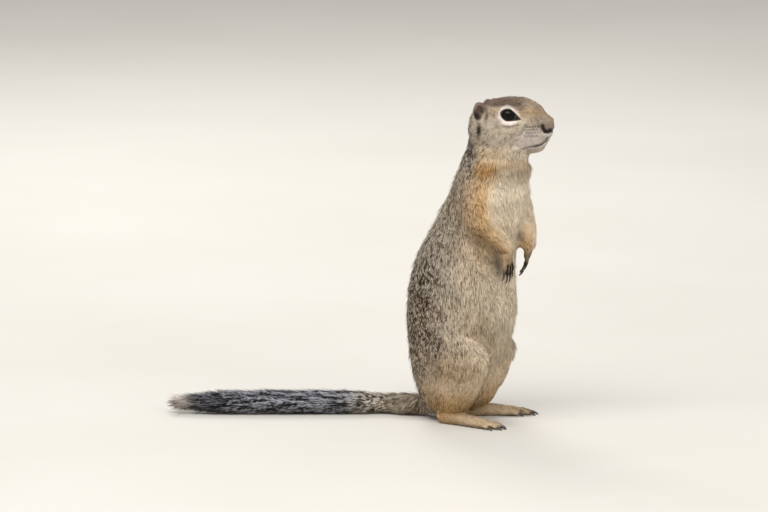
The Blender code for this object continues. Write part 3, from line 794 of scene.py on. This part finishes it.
def buildLock():  # one lock, lying along X: an edge at its root, widest before its middle, a sharp tip
    select()
    bpy.ops.mesh.primitive_cone_add(vertices=3, radius1=0.5, radius2=0, depth=1, location=(0, 0, 0.5))
    lock = bpy.context.object
    bpy.ops.object.transform_apply(location=True)
    enterEdit()
    bpy.ops.mesh.bisect(plane_co=(0, 0, lockLook["widest"]), plane_no=(0, 0, 1))
    bpy.ops.mesh.select_all(action="DESELECT")
    leaveEdit()
    points = readPoints(lock.data)
    lock.data.vertices.foreach_set("select", (points[:, 2] < 0.01) & (points[:, 1] < 0.1))
    bpy.ops.object.mode_set(mode="EDIT")
    bpy.ops.mesh.merge(type="CENTER")
    leaveEdit()
    points = readPoints(lock.data)
    points[np.abs(points[:, 2] - lockLook["widest"]) < 0.01, :2] *= 1.7
    points[points[:, 2] < 0.01, :2] *= 0.6
    points = np.stack((points[:, 2], points[:, 0], points[:, 1] * lockLook["flatness"]), 1)
    writePoints(lock.data, points)
    lock.data.calc_loop_triangles()
    triangles = np.array([t.vertices[:] for t in lock.data.loop_triangles])
    bpy.data.objects.remove(lock)
    return points, triangles


lockPoints, lockTriangles = buildLock()
print("lock:", len(lockPoints), "points,", len(lockTriangles), "faces")

# The skin's triangles, which the locks are rooted on.
mesh = skin.data
mesh.calc_loop_triangles()
corners = readRows(mesh.loop_triangles, "vertices", 3, np.int32)
loops = readRows(mesh.loop_triangles, "loops", 3, np.int32)
flat = readRows(mesh.uv_layers["OFBake"].data, "uv", 2)
triPoints = points[corners]
sides = triPoints[:, 1] - triPoints[:, 0], triPoints[:, 2] - triPoints[:, 0]
areas = np.linalg.norm(np.cross(*sides), axis=1) / 2
triOwner = softer[corners].mean(1).argmax(1)
triMiddle = triPoints.mean(1)
triForward = inHead(triMiddle)[:, 0]
triBare = skinMarks[corners].mean(1)[:, markNames.index("bare")]


def waves(places, reach, seed):  # a smooth field of numbers about zero, its swells about reach apart
    made = np.zeros(len(places))
    turns = np.random.default_rng(seed)
    for _ in range(6):
        way = unit(turns.normal(size=3)) * (2 * math.pi / reach) * turns.uniform(0.6, 1.5)
        made += np.sin(places / mm @ way + turns.uniform(0, 6.28))
    return made / 2.4


def vary(count, look):  # a random factor for each lock
    least, span = lockLook[look]
    return least + span * dice.random(count)


def flatten(vectors, normal):  # along the skin, with length 1
    return unit(vectors - normal * np.sum(vectors * normal, 1, keepdims=True))


def chooseRoots(name, plan):  # triangles and shares of their corners, evenly over the chosen skin
    chosen = np.isin(triOwner, [partNames.index(part) for part in plan["parts"]])
    if "front" in plan:
        isFront = (triForward > 27) & (triOwner == partNames.index("head"))
        chosen &= isFront == plan["front"]
    if "side" in plan:
        chosen &= (triMiddle[:, 1] > bodyPlan["middle"] * mm) == (plan["side"] > 0)
    weight = areas * chosen * (1 - np.clip(triBare * 1.6, 0, 1))
    if name == "coat_face":  # denser on the muzzle, where the locks are small
        weight *= 1 + 1.4 * ramp(triForward, 40, 52)
    weight = np.where(triMiddle[:, 2] < 0.6 * mm, 0, weight)  # none under the soles
    count = plan["locks"]
    picks = np.sort(dice.choice(len(weight), count, p=weight / weight.sum()))
    first = np.sqrt(dice.random(count))
    second = dice.random(count)
    return picks, np.stack((1 - first, first * (1 - second), first * second), 1)


def buildCoatMesh(name, vertices, triangles):
    coat = bpy.data.meshes.new(name)
    coat.vertices.add(len(vertices))
    coat.vertices.foreach_set("co", vertices.astype(np.float32).ravel())
    coat.loops.add(len(triangles) * 3)
    coat.loops.foreach_set("vertex_index", triangles.astype(np.int32).ravel())
    coat.polygons.add(len(triangles))
    coat.polygons.foreach_set("loop_start", np.arange(0, len(triangles) * 3, 3, dtype=np.int32))
    coat.polygons.foreach_set("use_smooth", np.ones(len(triangles), bool))
    coat.update(calc_edges=True)
    return coat


def growCoat(name, plan, material):
    count = plan["locks"]
    picks, shares = chooseRoots(name, plan)
    corner = corners[picks]

    def blend(values):
        return np.einsum("ij,ijk->ik", shares, values[corner])

    root = blend(points)
    normal = unit(blend(softNormals))
    along = blend(lie)
    owner = blend(softer)
    ownerSoft = blend(softest)
    rootFlat = np.einsum("ij,ijk->ik", shares, flat[loops[picks]])
    sizes = (owner * 0.5 + ownerSoft * 0.5) @ np.array([lockSizes[part] for part in partNames])
    length, width, rise = sizes[:, 0], sizes[:, 1], np.radians(sizes[:, 2])
    spots = inHead(root)
    face = owner[:, partNames.index("head")]
    shrink = 1 - face * lockLook["muzzle"] * ramp(spots[:, 0], 36, 56)
    for side in (-1, 1):
        measure = lidMeasure(spots, side)[0]
        shrink *= 1 - face * lockLook["byEye"] * (1 - ramp(measure, 1.2, 2.6))
    length *= shrink * vary(count, "vary")
    width *= (0.45 + 0.55 * shrink) * vary(count, "vary")
    sway = (waves(root, 14, 3) + waves(root, 4.5, 4) + dice.normal(size=count)) * lockLook["sway"]
    tailShare = owner[:, tails]
    along = flatten(along, normal)
    across = np.cross(normal, along)
    along = along * np.cos(sway)[:, None] + across * np.sin(sway)[:, None]
    across = np.cross(normal, along)
    looseShare, steeper = lockLook["loose"]
    loose = 1 + steeper * (dice.random(count) < looseShare) * (1 - tailShare)
    lift = np.tan(rise * vary(count, "varyRise") * loose)
    roll = dice.normal(size=count) * lockLook["roll"]
    upward = normal * np.cos(roll)[:, None] + across * np.sin(roll)[:, None]
    across = np.cross(upward, along)
    t = lockPoints[None, :, 0]
    droop, tailLess = lockLook["droop"]
    bend = lift[:, None] * t * (1 - (droop - tailLess * tailShare[:, None]) * t)
    scaleLong = (length * mm)[:, None, None]
    scaleWide = (width * mm)[:, None, None]
    shape = root[:, None] - (normal * length[:, None] * lockLook["sunk"] * mm)[:, None]
    shape = shape + scaleLong * (t[..., None] * along[:, None] + bend[..., None] * normal[:, None])
    shape += scaleWide * (lockPoints[None, :, 1, None] * across[:, None])
    shape += scaleWide * (lockPoints[None, :, 2, None] * upward[:, None])
    shape[..., 2] = np.maximum(shape[..., 2], lockLook["ground"] * mm)
    size = len(lockPoints)
    vertices = shape.reshape(-1, 3)
    triangles = (lockTriangles[None] + (np.arange(count) * size)[:, None, None]).reshape(-1, 3)
    coat = buildCoatMesh(name, vertices, triangles)

    # Body colours are read near the tips, so their edges are ragged, and the face's near the roots.
    marks = markings(root + along * (length * mm * 0.75)[:, None], normal, ownerSoft)
    marks[:, 4:] = markings(root + along * (length * mm * 0.35)[:, None], normal, ownerSoft)[:, 4:]
    storeMarks(coat, np.repeat(marks, size, 0), vertices,
               np.tile(lockPoints[:, 0], count), np.repeat(dice.random(count), size))
    patch = np.stack((lockPoints[:, 1] * 0.003, (lockPoints[:, 0] - 0.5) * 0.003), 1)
    place = np.clip(rootFlat[:, None] + patch[None], 0.001, 0.999).reshape(-1, 2)
    coat.uv_layers.new(name="OFBake")
    coat.uv_layers["OFBake"].data.foreach_set("uv", place[triangles.ravel()].astype(np.float32).ravel())
    # shaded mostly as the body under it, so the coat reads soft
    softShade = lockLook["softShade"]
    shading = unit(readNormals(coat) * (1 - softShade) + np.repeat(normal, size, 0) * softShade)
    coat.normals_split_custom_set_from_vertices(shading.astype(np.float32))
    piece = newObject(name, coat)
    coat.materials.append(material)
    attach(piece, "root")
    print(name, len(triangles), "faces")


# Agouti fur: every hair is dark at its root with a pale band and a tip of either, so the coat looks
# flecked. Dull, with a faint silky sheen along the lie. Pale and dark colour for each mark.
furColours = {
    "flank": ("#cfc0a8", "#6c5a4a"),
    "back": ("#d3c7b4", "#38281c"),
    "ochre": ("#d1a565", "#82562a"),
    "cream": ("#f1e1c8", "#dfc8a6"),
    "tail": ("#b3b2ba", "#171516"),
    "crown": ("#7a6657", "#352823"),
    "white": ("#e6dad2", "#bfaea3"),
    "bare": ("#8b7769", "#5c4b40"),
    "dark": ("#1c1512", "#0c0908"),
}
furLook = {
    "dapple": 3.8,  # mm across one cluster of flecks
    "streak": (15, 2.2, 2.2),  # and one pale streak of the tail, along and across it
    "patch": 17,  # mm across the slow changes of tone
    "clustered": (0.2, 0.36),  # how far hairs match their cluster, and how much more on the back
    "streaked": 0.62,  # how far the tail's hairs match their streak
    "pale": 0.7,  # share of pale hairs, and what each mark adds to it
    "paler": {"back": -0.14, "tail": -0.07, "cream": 0.12},
    "crisp": 0.09,  # half the span from a pale hair to a dark one
    "rootDarkAndShade": (0.7, -0.45),  # how dark the roots are, and how much more on cream
    "bands": ((0.52, 1), (0.62, 0), (0.8, 0), (0.93, 0.8)),  # along a hair of the back: 1 is dark
    "patchTone": (0.86, 1.12),
    "hairTone": (0.88, 1.12),
    "roughness": 0.72,
    "skinRoughness": 0.42,  # bare skin of the nose and lids is a little moist
    "grain": 900,  # per metre: the combed short hair that the skin shows between locks, 1.1 mm apart
    "grainDepth": 0.25,  # mm
}


def furMaterial(name, isSkin):
    material, tree = newMaterial(name)
    place = addNode(tree, "Attribute", {"attribute_name": "markPoint"}).outputs["Vector"]
    along = addNode(tree, "Attribute", {"attribute_name": "along"}).outputs["Fac"]
    chance = addNode(tree, "Attribute", {"attribute_name": "chance"}).outputs["Fac"]
    marks = {}
    for attribute, names in (("bodyMarks", markNames[:4]), ("faceMarks", markNames[4:])):
        source = addNode(tree, "Attribute", {"attribute_name": attribute})
        parts = addNode(tree, "SeparateColor", {}, {"Color": source.outputs["Color"]})
        for markName, socket in zip(names, (*parts.outputs[:3], source.outputs["Alpha"])):
            marks[markName] = socket
    # single hairs differ by chance, in small clusters; the tail's stand together in streaks
    spot = addNode(tree, "TexNoise", {}, {"Vector": place, "Scale": 1000 / furLook["dapple"], "Detail": 1})
    cluster = addNode(tree, "MapRange", {}, {0: spot, 1: 0.3, 2: 0.7})
    turned = addNode(tree, "Mapping", {"vector_type": "TEXTURE"}, {
        "Vector": place, "Rotation": (0, 0, tailTurn), "Scale": [size * mm for size in furLook["streak"]]})
    long = addNode(tree, "TexNoise", {}, {"Vector": turned, "Scale": 1, "Detail": 1})
    streak = addNode(tree, "MapRange", {}, {0: long, 1: 0.34, 2: 0.64})
    patch = addNode(tree, "TexNoise", {}, {"Vector": place, "Scale": 1000 / furLook["patch"], "Detail": 2})
    least, onBack = furLook["clustered"]
    clustered = addNode(tree, "Math", {"operation": "MULTIPLY_ADD"}, {0: marks["back"], 1: onBack, 2: least})
    mixed = addNode(tree, "Mix", {}, {"Factor": clustered, "A": chance, "B": cluster})
    streaked = addNode(tree, "Math", {"operation": "MULTIPLY"}, {0: marks["tail"], 1: furLook["streaked"]})
    level = addNode(tree, "Mix", {}, {"Factor": streaked, "A": mixed, "B": streak})
    share = furLook["pale"]
    for markName, more in furLook["paler"].items():
        share = addNode(tree, "Math", {"operation": "MULTIPLY_ADD"}, {0: marks[markName], 1: more, 2: share})
    over = addNode(tree, "Math", {"operation": "SUBTRACT"}, {0: level, 1: share})
    darkness = addNode(tree, "MapRange", {"interpolation_type": "SMOOTHSTEP"},
                       {0: over, 1: -furLook["crisp"], 2: furLook["crisp"]})
    # the root of a hair is darker, as real underfur and as painted shade in the gaps between locks; on the
    # back it is dark again at its tip, past a short pale band
    rootDarkAndShade, onCream = furLook["rootDarkAndShade"]
    rootShade = addNode(tree, "Math", {"operation": "MULTIPLY_ADD"},
                        {0: marks["cream"], 1: onCream, 2: rootDarkAndShade})
    shade = addNode(tree, "MapRange", {}, {0: along, 1: 0.0, 2: 0.45, 3: rootShade, 4: 0.0})
    bands = addNode(tree, "ValToRGB", {}, {"Fac": along})
    setStops(bands, [(position, (value, value, value, 1)) for position, value in furLook["bands"]])
    banded = addNode(tree, "Math", {"operation": "MULTIPLY"}, {0: bands, 1: marks["back"]})
    rooted = addNode(tree, "Math", {"operation": "MAXIMUM"}, {0: banded, 1: shade})
    depth = addNode(tree, "Math", {"operation": "MAXIMUM"}, {0: darkness, 1: rooted})
    tones = []
    for which in (0, 1):
        tone = toLinear(furColours["flank"][which])
        for markName in markNames:
            mix = addNode(tree, "Mix", {"data_type": "RGBA"},
                          {0: marks[markName], 6: tone, 7: toLinear(furColours[markName][which])})
            tone = mix.outputs[2]
        tones.append(tone)
    fur = addNode(tree, "Mix", {"data_type": "RGBA"}, {0: depth, 6: tones[0], 7: tones[1]})
    low, high = furLook["patchTone"]
    tint = addNode(tree, "MapRange", {}, {0: patch, 1: 0.3, 2: 0.7, 3: low, 4: high})
    low, high = furLook["hairTone"]
    single = addNode(tree, "MapRange", {}, {0: chance, 3: low, 4: high})
    bright = addNode(tree, "Math", {"operation": "MULTIPLY"}, {0: tint, 1: single})
    final = addNode(tree, "HueSaturation", {}, {"Color": fur.outputs[2], "Value": bright})
    shader = addNode(tree, "BsdfPrincipled", {}, {
        "Base Color": final, "Roughness": furLook["roughness"],
        "Specular IOR Level": 0.25, "Sheen Weight": 0.05, "Sheen Roughness": 0.5})
    if isSkin:
        moist = addNode(tree, "MapRange", {}, {
            0: marks["bare"], 3: furLook["roughness"], 4: furLook["skinRoughness"]})
        tree.links.new(moist.outputs[0], shader.inputs["Roughness"])
        grain = addNode(tree, "TexNoise", {}, {"Vector": place, "Scale": furLook["grain"], "Detail": 3})
        relief = addNode(tree, "Bump", {}, {
            "Height": grain, "Distance": furLook["grainDepth"] * mm, "Strength": 0.7})
        tree.links.new(relief.outputs[0], shader.inputs["Normal"])
    addNode(tree, "OutputMaterial", {}, {"Surface": shader})
    return material


skin.data.materials.clear()
skin.data.materials.append(furMaterial("fur over skin", True))
fleshNodes = [name for part in bodyParts.values() for name in part["nodes"] if not name.startswith("eye")]
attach(skin, "root")
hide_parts(*fleshNodes)
lockMaterial = furMaterial("agouti fur", False)
for name, plan in coatPieces.items():
    growCoat(name, plan, lockMaterial)

eyeLook = {
    "cornea": 0.35,  # how far it bulges, in mm
    "segments": 48,
    "rings": 24,
    "fibres": 1400,  # per metre, as iris fibres 0.7 mm apart
    "fibreDepth": 0.12,  # how far they break the edge of each tone
    "tones": ((0.0, "#030303"), (0.42, "#040303"), (0.5, "#120b08"), (0.78, "#0d0806"), (0.9, "#050404")),
}


def eyeMaterial():  # a wet, nearly black eye: brown iris under a clear, glossy cornea
    material, tree = newMaterial("dark eye under clear cornea")
    place = addNode(tree, "Attribute", {"attribute_name": "fromPupil"}).outputs["Fac"]
    fibres = addNode(tree, "TexNoise", {}, {"Scale": eyeLook["fibres"], "Detail": 3})
    wobble = addNode(tree, "Math", {"operation": "MULTIPLY_ADD"},
                     {0: fibres, 1: eyeLook["fibreDepth"], 2: place})
    rings = addNode(tree, "ValToRGB", {}, {"Fac": wobble})
    setStops(rings, [(position, toLinear(colour)) for position, colour in eyeLook["tones"]])
    shader = addNode(tree, "BsdfPrincipled", {}, {
        "Base Color": rings, "Roughness": 0.3, "Specular IOR Level": 0.05,
        "Coat Weight": 0.34, "Coat Roughness": 0.05, "Coat IOR": 1.38})
    addNode(tree, "OutputMaterial", {}, {"Surface": shader})
    return material


def buildEye(side, name, material):
    low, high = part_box(name)
    centre = (low + high) / 2
    select()
    bpy.ops.mesh.primitive_uv_sphere_add(segments=eyeLook["segments"], ring_count=eyeLook["rings"],
                                         radius=bodyPlan["eyeRadius"] * mm, location=(0, 0, 0))
    eye = bpy.context.object
    eye.name = "eyeball_left" if side > 0 else "eyeball_right"
    points = readPoints(eye.data)
    lean = unit(points) @ (eyeFacing(side) @ headAxes)
    bulge = ramp(lean, 0.55, 0.95) * eyeLook["cornea"] * mm
    points += unit(points) * bulge[:, None]
    store(eye.data, "fromPupil", "FLOAT", np.arccos(np.clip(lean, -1, 1)) / 0.9)
    writePoints(eye.data, points + np.array(centre))
    bpy.ops.object.shade_smooth()
    eye.data.materials.append(material)
    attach(eye, "root")
    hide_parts(name)


corneaMaterial = eyeMaterial()
buildEye(1, "eye_left", corneaMaterial)
buildEye(-1, "eye_right", corneaMaterial)
print("eyes done")

clawLook = {
    "smooth": 2,  # levels of subdivision
    "swell": 0.22,  # mm, so that smoothing takes nothing off the claw
    "striae": 2200,  # per metre, 0.45 mm apart and three times as long as they are wide
    "striaeDepth": 0.05,
    "dark": "#1d1613",
    "pale": "#4d3d33",
}


def clawMaterial():  # keratin horn: dark brown, faintly streaked along its length, dull shine
    material, tree = newMaterial("dark claw horn")
    place = addNode(tree, "TexCoord").outputs["Object"]
    stretch = addNode(tree, "Mapping", {}, {"Vector": place, "Scale": (1, 1, 0.3)})
    striae = addNode(tree, "TexNoise", {}, {"Vector": stretch, "Scale": clawLook["striae"], "Detail": 2})
    colour = addNode(tree, "Mix", {"data_type": "RGBA"},
                     {0: striae, 6: toLinear(clawLook["dark"]), 7: toLinear(clawLook["pale"])})
    relief = addNode(tree, "Bump", {}, {
        "Height": striae, "Distance": clawLook["striaeDepth"] * mm, "Strength": 0.5})
    shader = addNode(tree, "BsdfPrincipled", {}, {
        "Base Color": colour.outputs[2], "Roughness": 0.34, "IOR": 1.54, "Normal": relief})
    addNode(tree, "OutputMaterial", {}, {"Surface": shader})
    return material


horn = clawMaterial()
for limb in ("foot", "hand"):
    for side in ("left", "right"):
        names = [f"claw_{limb}_{side}_{i}" for i in range(1, digitForms[limb]["claws"] + 1)]
        claws = [copyNode(name, "horn_" + name) for name in names]
        select(*claws)
        bpy.ops.object.join()
        piece = claws[0]
        piece.name = f"claws_{limb}_{side}"
        applyModifier(piece, "SUBSURF", levels=clawLook["smooth"], render_levels=clawLook["smooth"])
        applyModifier(piece, "DISPLACE", strength=clawLook["swell"] * mm, mid_level=0)
        select(piece)
        bpy.ops.object.shade_smooth()
        piece.data.materials.append(horn)
        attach(piece, "root")
        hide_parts(*names)
print("claws done")

whiskerLook = {
    "length": 34,
    "grow": (0.45, 0.14),  # share of that length for the front ones, and more for each place behind
    "vary": (0.8, 1.1),
    "thick": 0.15,
    "droop": (-0.25, 0.1, -0.3),
    "mottle": 160,  # per metre, so the tone changes each 6 mm
    "dark": "#2b2420",
    "pale": "#8a7d70",
}


def buildWhiskers():  # stiff dark bristles from the pad, each a long bent cone; copies of one
    select()
    bpy.ops.mesh.primitive_cone_add(vertices=4, radius1=0.5, radius2=0.06, depth=1, location=(0, 0, 0.5))
    bristle = bpy.context.object
    bpy.ops.object.transform_apply(location=True)
    bpy.ops.object.mode_set(mode="EDIT")
    for height in (0.15, 0.3, 0.45, 0.6, 0.75, 0.88):
        bpy.ops.mesh.select_all(action="SELECT")
        bpy.ops.mesh.bisect(plane_co=(0, 0, height), plane_no=(0, 0, 1))
    leaveEdit()
    base = readPoints(bristle.data)
    faces = [list(f.vertices) for f in bristle.data.polygons]
    bpy.data.objects.remove(bristle)
    tree = BVHTree.FromPolygons([Vector(p) for p in points], corners.tolist())
    t = base[:, 2]
    least, more = whiskerLook["grow"]
    back, out, down = whiskerLook["droop"]
    vertices = []
    shapes = []
    for side in (-1, 1):
        for row, place, forward, up in whiskerRoots:
            start = Vector(fromHead((forward, side * 40, up)))
            toHead = Vector(np.array((0, -side, 0)) @ headAxes)
            root = tree.ray_cast(start, toHead)[0]
            if root is None:
                continue
            root = np.array(root + toHead * 0.3 * mm)
            reach = whiskerLook["length"] * (least + more * place) * dice.uniform(*whiskerLook["vary"]) * mm
            way = unit(np.array((1.1 - place * 0.4, side, 0.3 - row * 0.3)) + dice.normal(size=3) * 0.08)
            droop = np.array((back, out * side, down))
            lean = unit(np.cross(way, (0, 0, 1)))
            rise = np.cross(lean, way)
            spine = way * t[:, None] + droop * (t ** 2)[:, None] * 0.6
            body = (lean * base[:, 0, None] + rise * base[:, 1, None]) * whiskerLook["thick"] * mm
            made = root + (spine * reach + body) @ headAxes
            shapes += [[len(vertices) + i for i in f] for f in faces]
            vertices += made.tolist()
    mesh = bpy.data.meshes.new("whiskers")
    mesh.from_pydata(vertices, [], shapes)
    mesh.update()
    piece = newObject("whiskers", mesh)
    select(piece)
    bpy.ops.object.shade_smooth()
    return piece


def whiskerMaterial():  # stiff keratin bristle: dark brown with paler stretches, glossy
    material, tree = newMaterial("whisker bristle")
    place = addNode(tree, "TexCoord").outputs["Object"]
    tone = addNode(tree, "TexNoise", {}, {"Vector": place, "Scale": whiskerLook["mottle"]})
    colour = addNode(tree, "Mix", {"data_type": "RGBA"},
                     {0: tone, 6: toLinear(whiskerLook["dark"]), 7: toLinear(whiskerLook["pale"])})
    shader = addNode(tree, "BsdfPrincipled", {}, {
        "Base Color": colour.outputs[2], "Roughness": 0.4, "IOR": 1.54})
    addNode(tree, "OutputMaterial", {}, {"Surface": shader})
    return material


whiskers = buildWhiskers()
whiskers.data.materials.append(whiskerMaterial())
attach(whiskers, "root")
print("whiskers done")

stageLook = {
    "floor": ("#cfcbc3", "#c3beb4"),
    "floorSize": 14,  # metres
    "mottle": 3,  # per metre
    "world": "#f2f3f5",
    "worldStrength": 0.75,
}


def buildStage():  # a matt pale floor under an even pale sky
    select()
    bpy.ops.mesh.primitive_plane_add(size=stageLook["floorSize"], location=(0, 0, 0))
    floor = bpy.context.object
    floor.name = "floor"
    material, tree = newMaterial("matt studio floor")
    place = addNode(tree, "TexCoord").outputs["Object"]
    tone = addNode(tree, "TexNoise", {}, {"Vector": place, "Scale": stageLook["mottle"], "Detail": 3})
    pale, darker = stageLook["floor"]
    colour = addNode(tree, "Mix", {"data_type": "RGBA"}, {0: tone, 6: toLinear(pale), 7: toLinear(darker)})
    shader = addNode(tree, "BsdfPrincipled", {}, {"Base Color": colour.outputs[2], "Roughness": 0.9})
    addNode(tree, "OutputMaterial", {}, {"Surface": shader})
    floor.data.materials.append(material)
    world = bpy.data.worlds.new("studio")
    world.use_nodes = True
    bpy.context.scene.world = world
    background = world.node_tree.nodes["Background"]
    background.inputs[0].default_value = toLinear(stageLook["world"])
    background.inputs[1].default_value = stageLook["worldStrength"]


lamps = {  # place, what it points at, width, height, power
    "key": ((0.1, -1.3, 2.0), (0.05, 0, 0.15), 2.6, 1.0, 44),
    "fill": ((1.7, -0.9, 0.9), (0.08, 0, 0.15), 1.3, 1.3, 10),
    "rim": ((-0.9, 1.2, 1.3), (0.05, 0, 0.15), 0.9, 0.9, 18),
}


def buildLamps():
    for name, (place, target, width, height, power) in lamps.items():
        light = bpy.data.lights.new(name, "AREA")
        light.shape = "ELLIPSE"
        light.size = width
        light.size_y = height
        light.energy = power
        lamp = newObject(name, light)
        lamp.location = place
        lamp.visible_glossy = name == "key"  # one soft reflection in the eye
        lamp.rotation_mode = "QUATERNION"
        lamp.rotation_quaternion = (Vector(target) - Vector(place)).to_track_quat("-Z", "Y")


cameraPlan = {
    "azimuth": 25,
    "elevation": 10,
    "distance": 8.0,  # metres
    "target": (0.0179, -0.0060, 0.1344),
    "lens": 461.4,
}


def buildCamera():
    azimuth = math.radians(cameraPlan["azimuth"])
    elevation = math.radians(cameraPlan["elevation"])
    back = Vector((math.sin(azimuth) * math.cos(elevation), -math.cos(azimuth) * math.cos(elevation),
                   math.sin(elevation)))
    data = bpy.data.cameras.new("camera")
    data.lens = cameraPlan["lens"]
    data.sensor_width = 36
    data.clip_end = 60
    camera = newObject("camera", data)
    camera.location = Vector(cameraPlan["target"]) + back * cameraPlan["distance"]
    camera.rotation_mode = "QUATERNION"
    camera.rotation_quaternion = (-back).to_track_quat("-Z", "Y")
    bpy.context.scene.camera = camera


bpy.context.scene.view_settings.view_transform = "Standard"
buildStage()
buildLamps()
buildCamera()
print("stage, lamps and camera done")
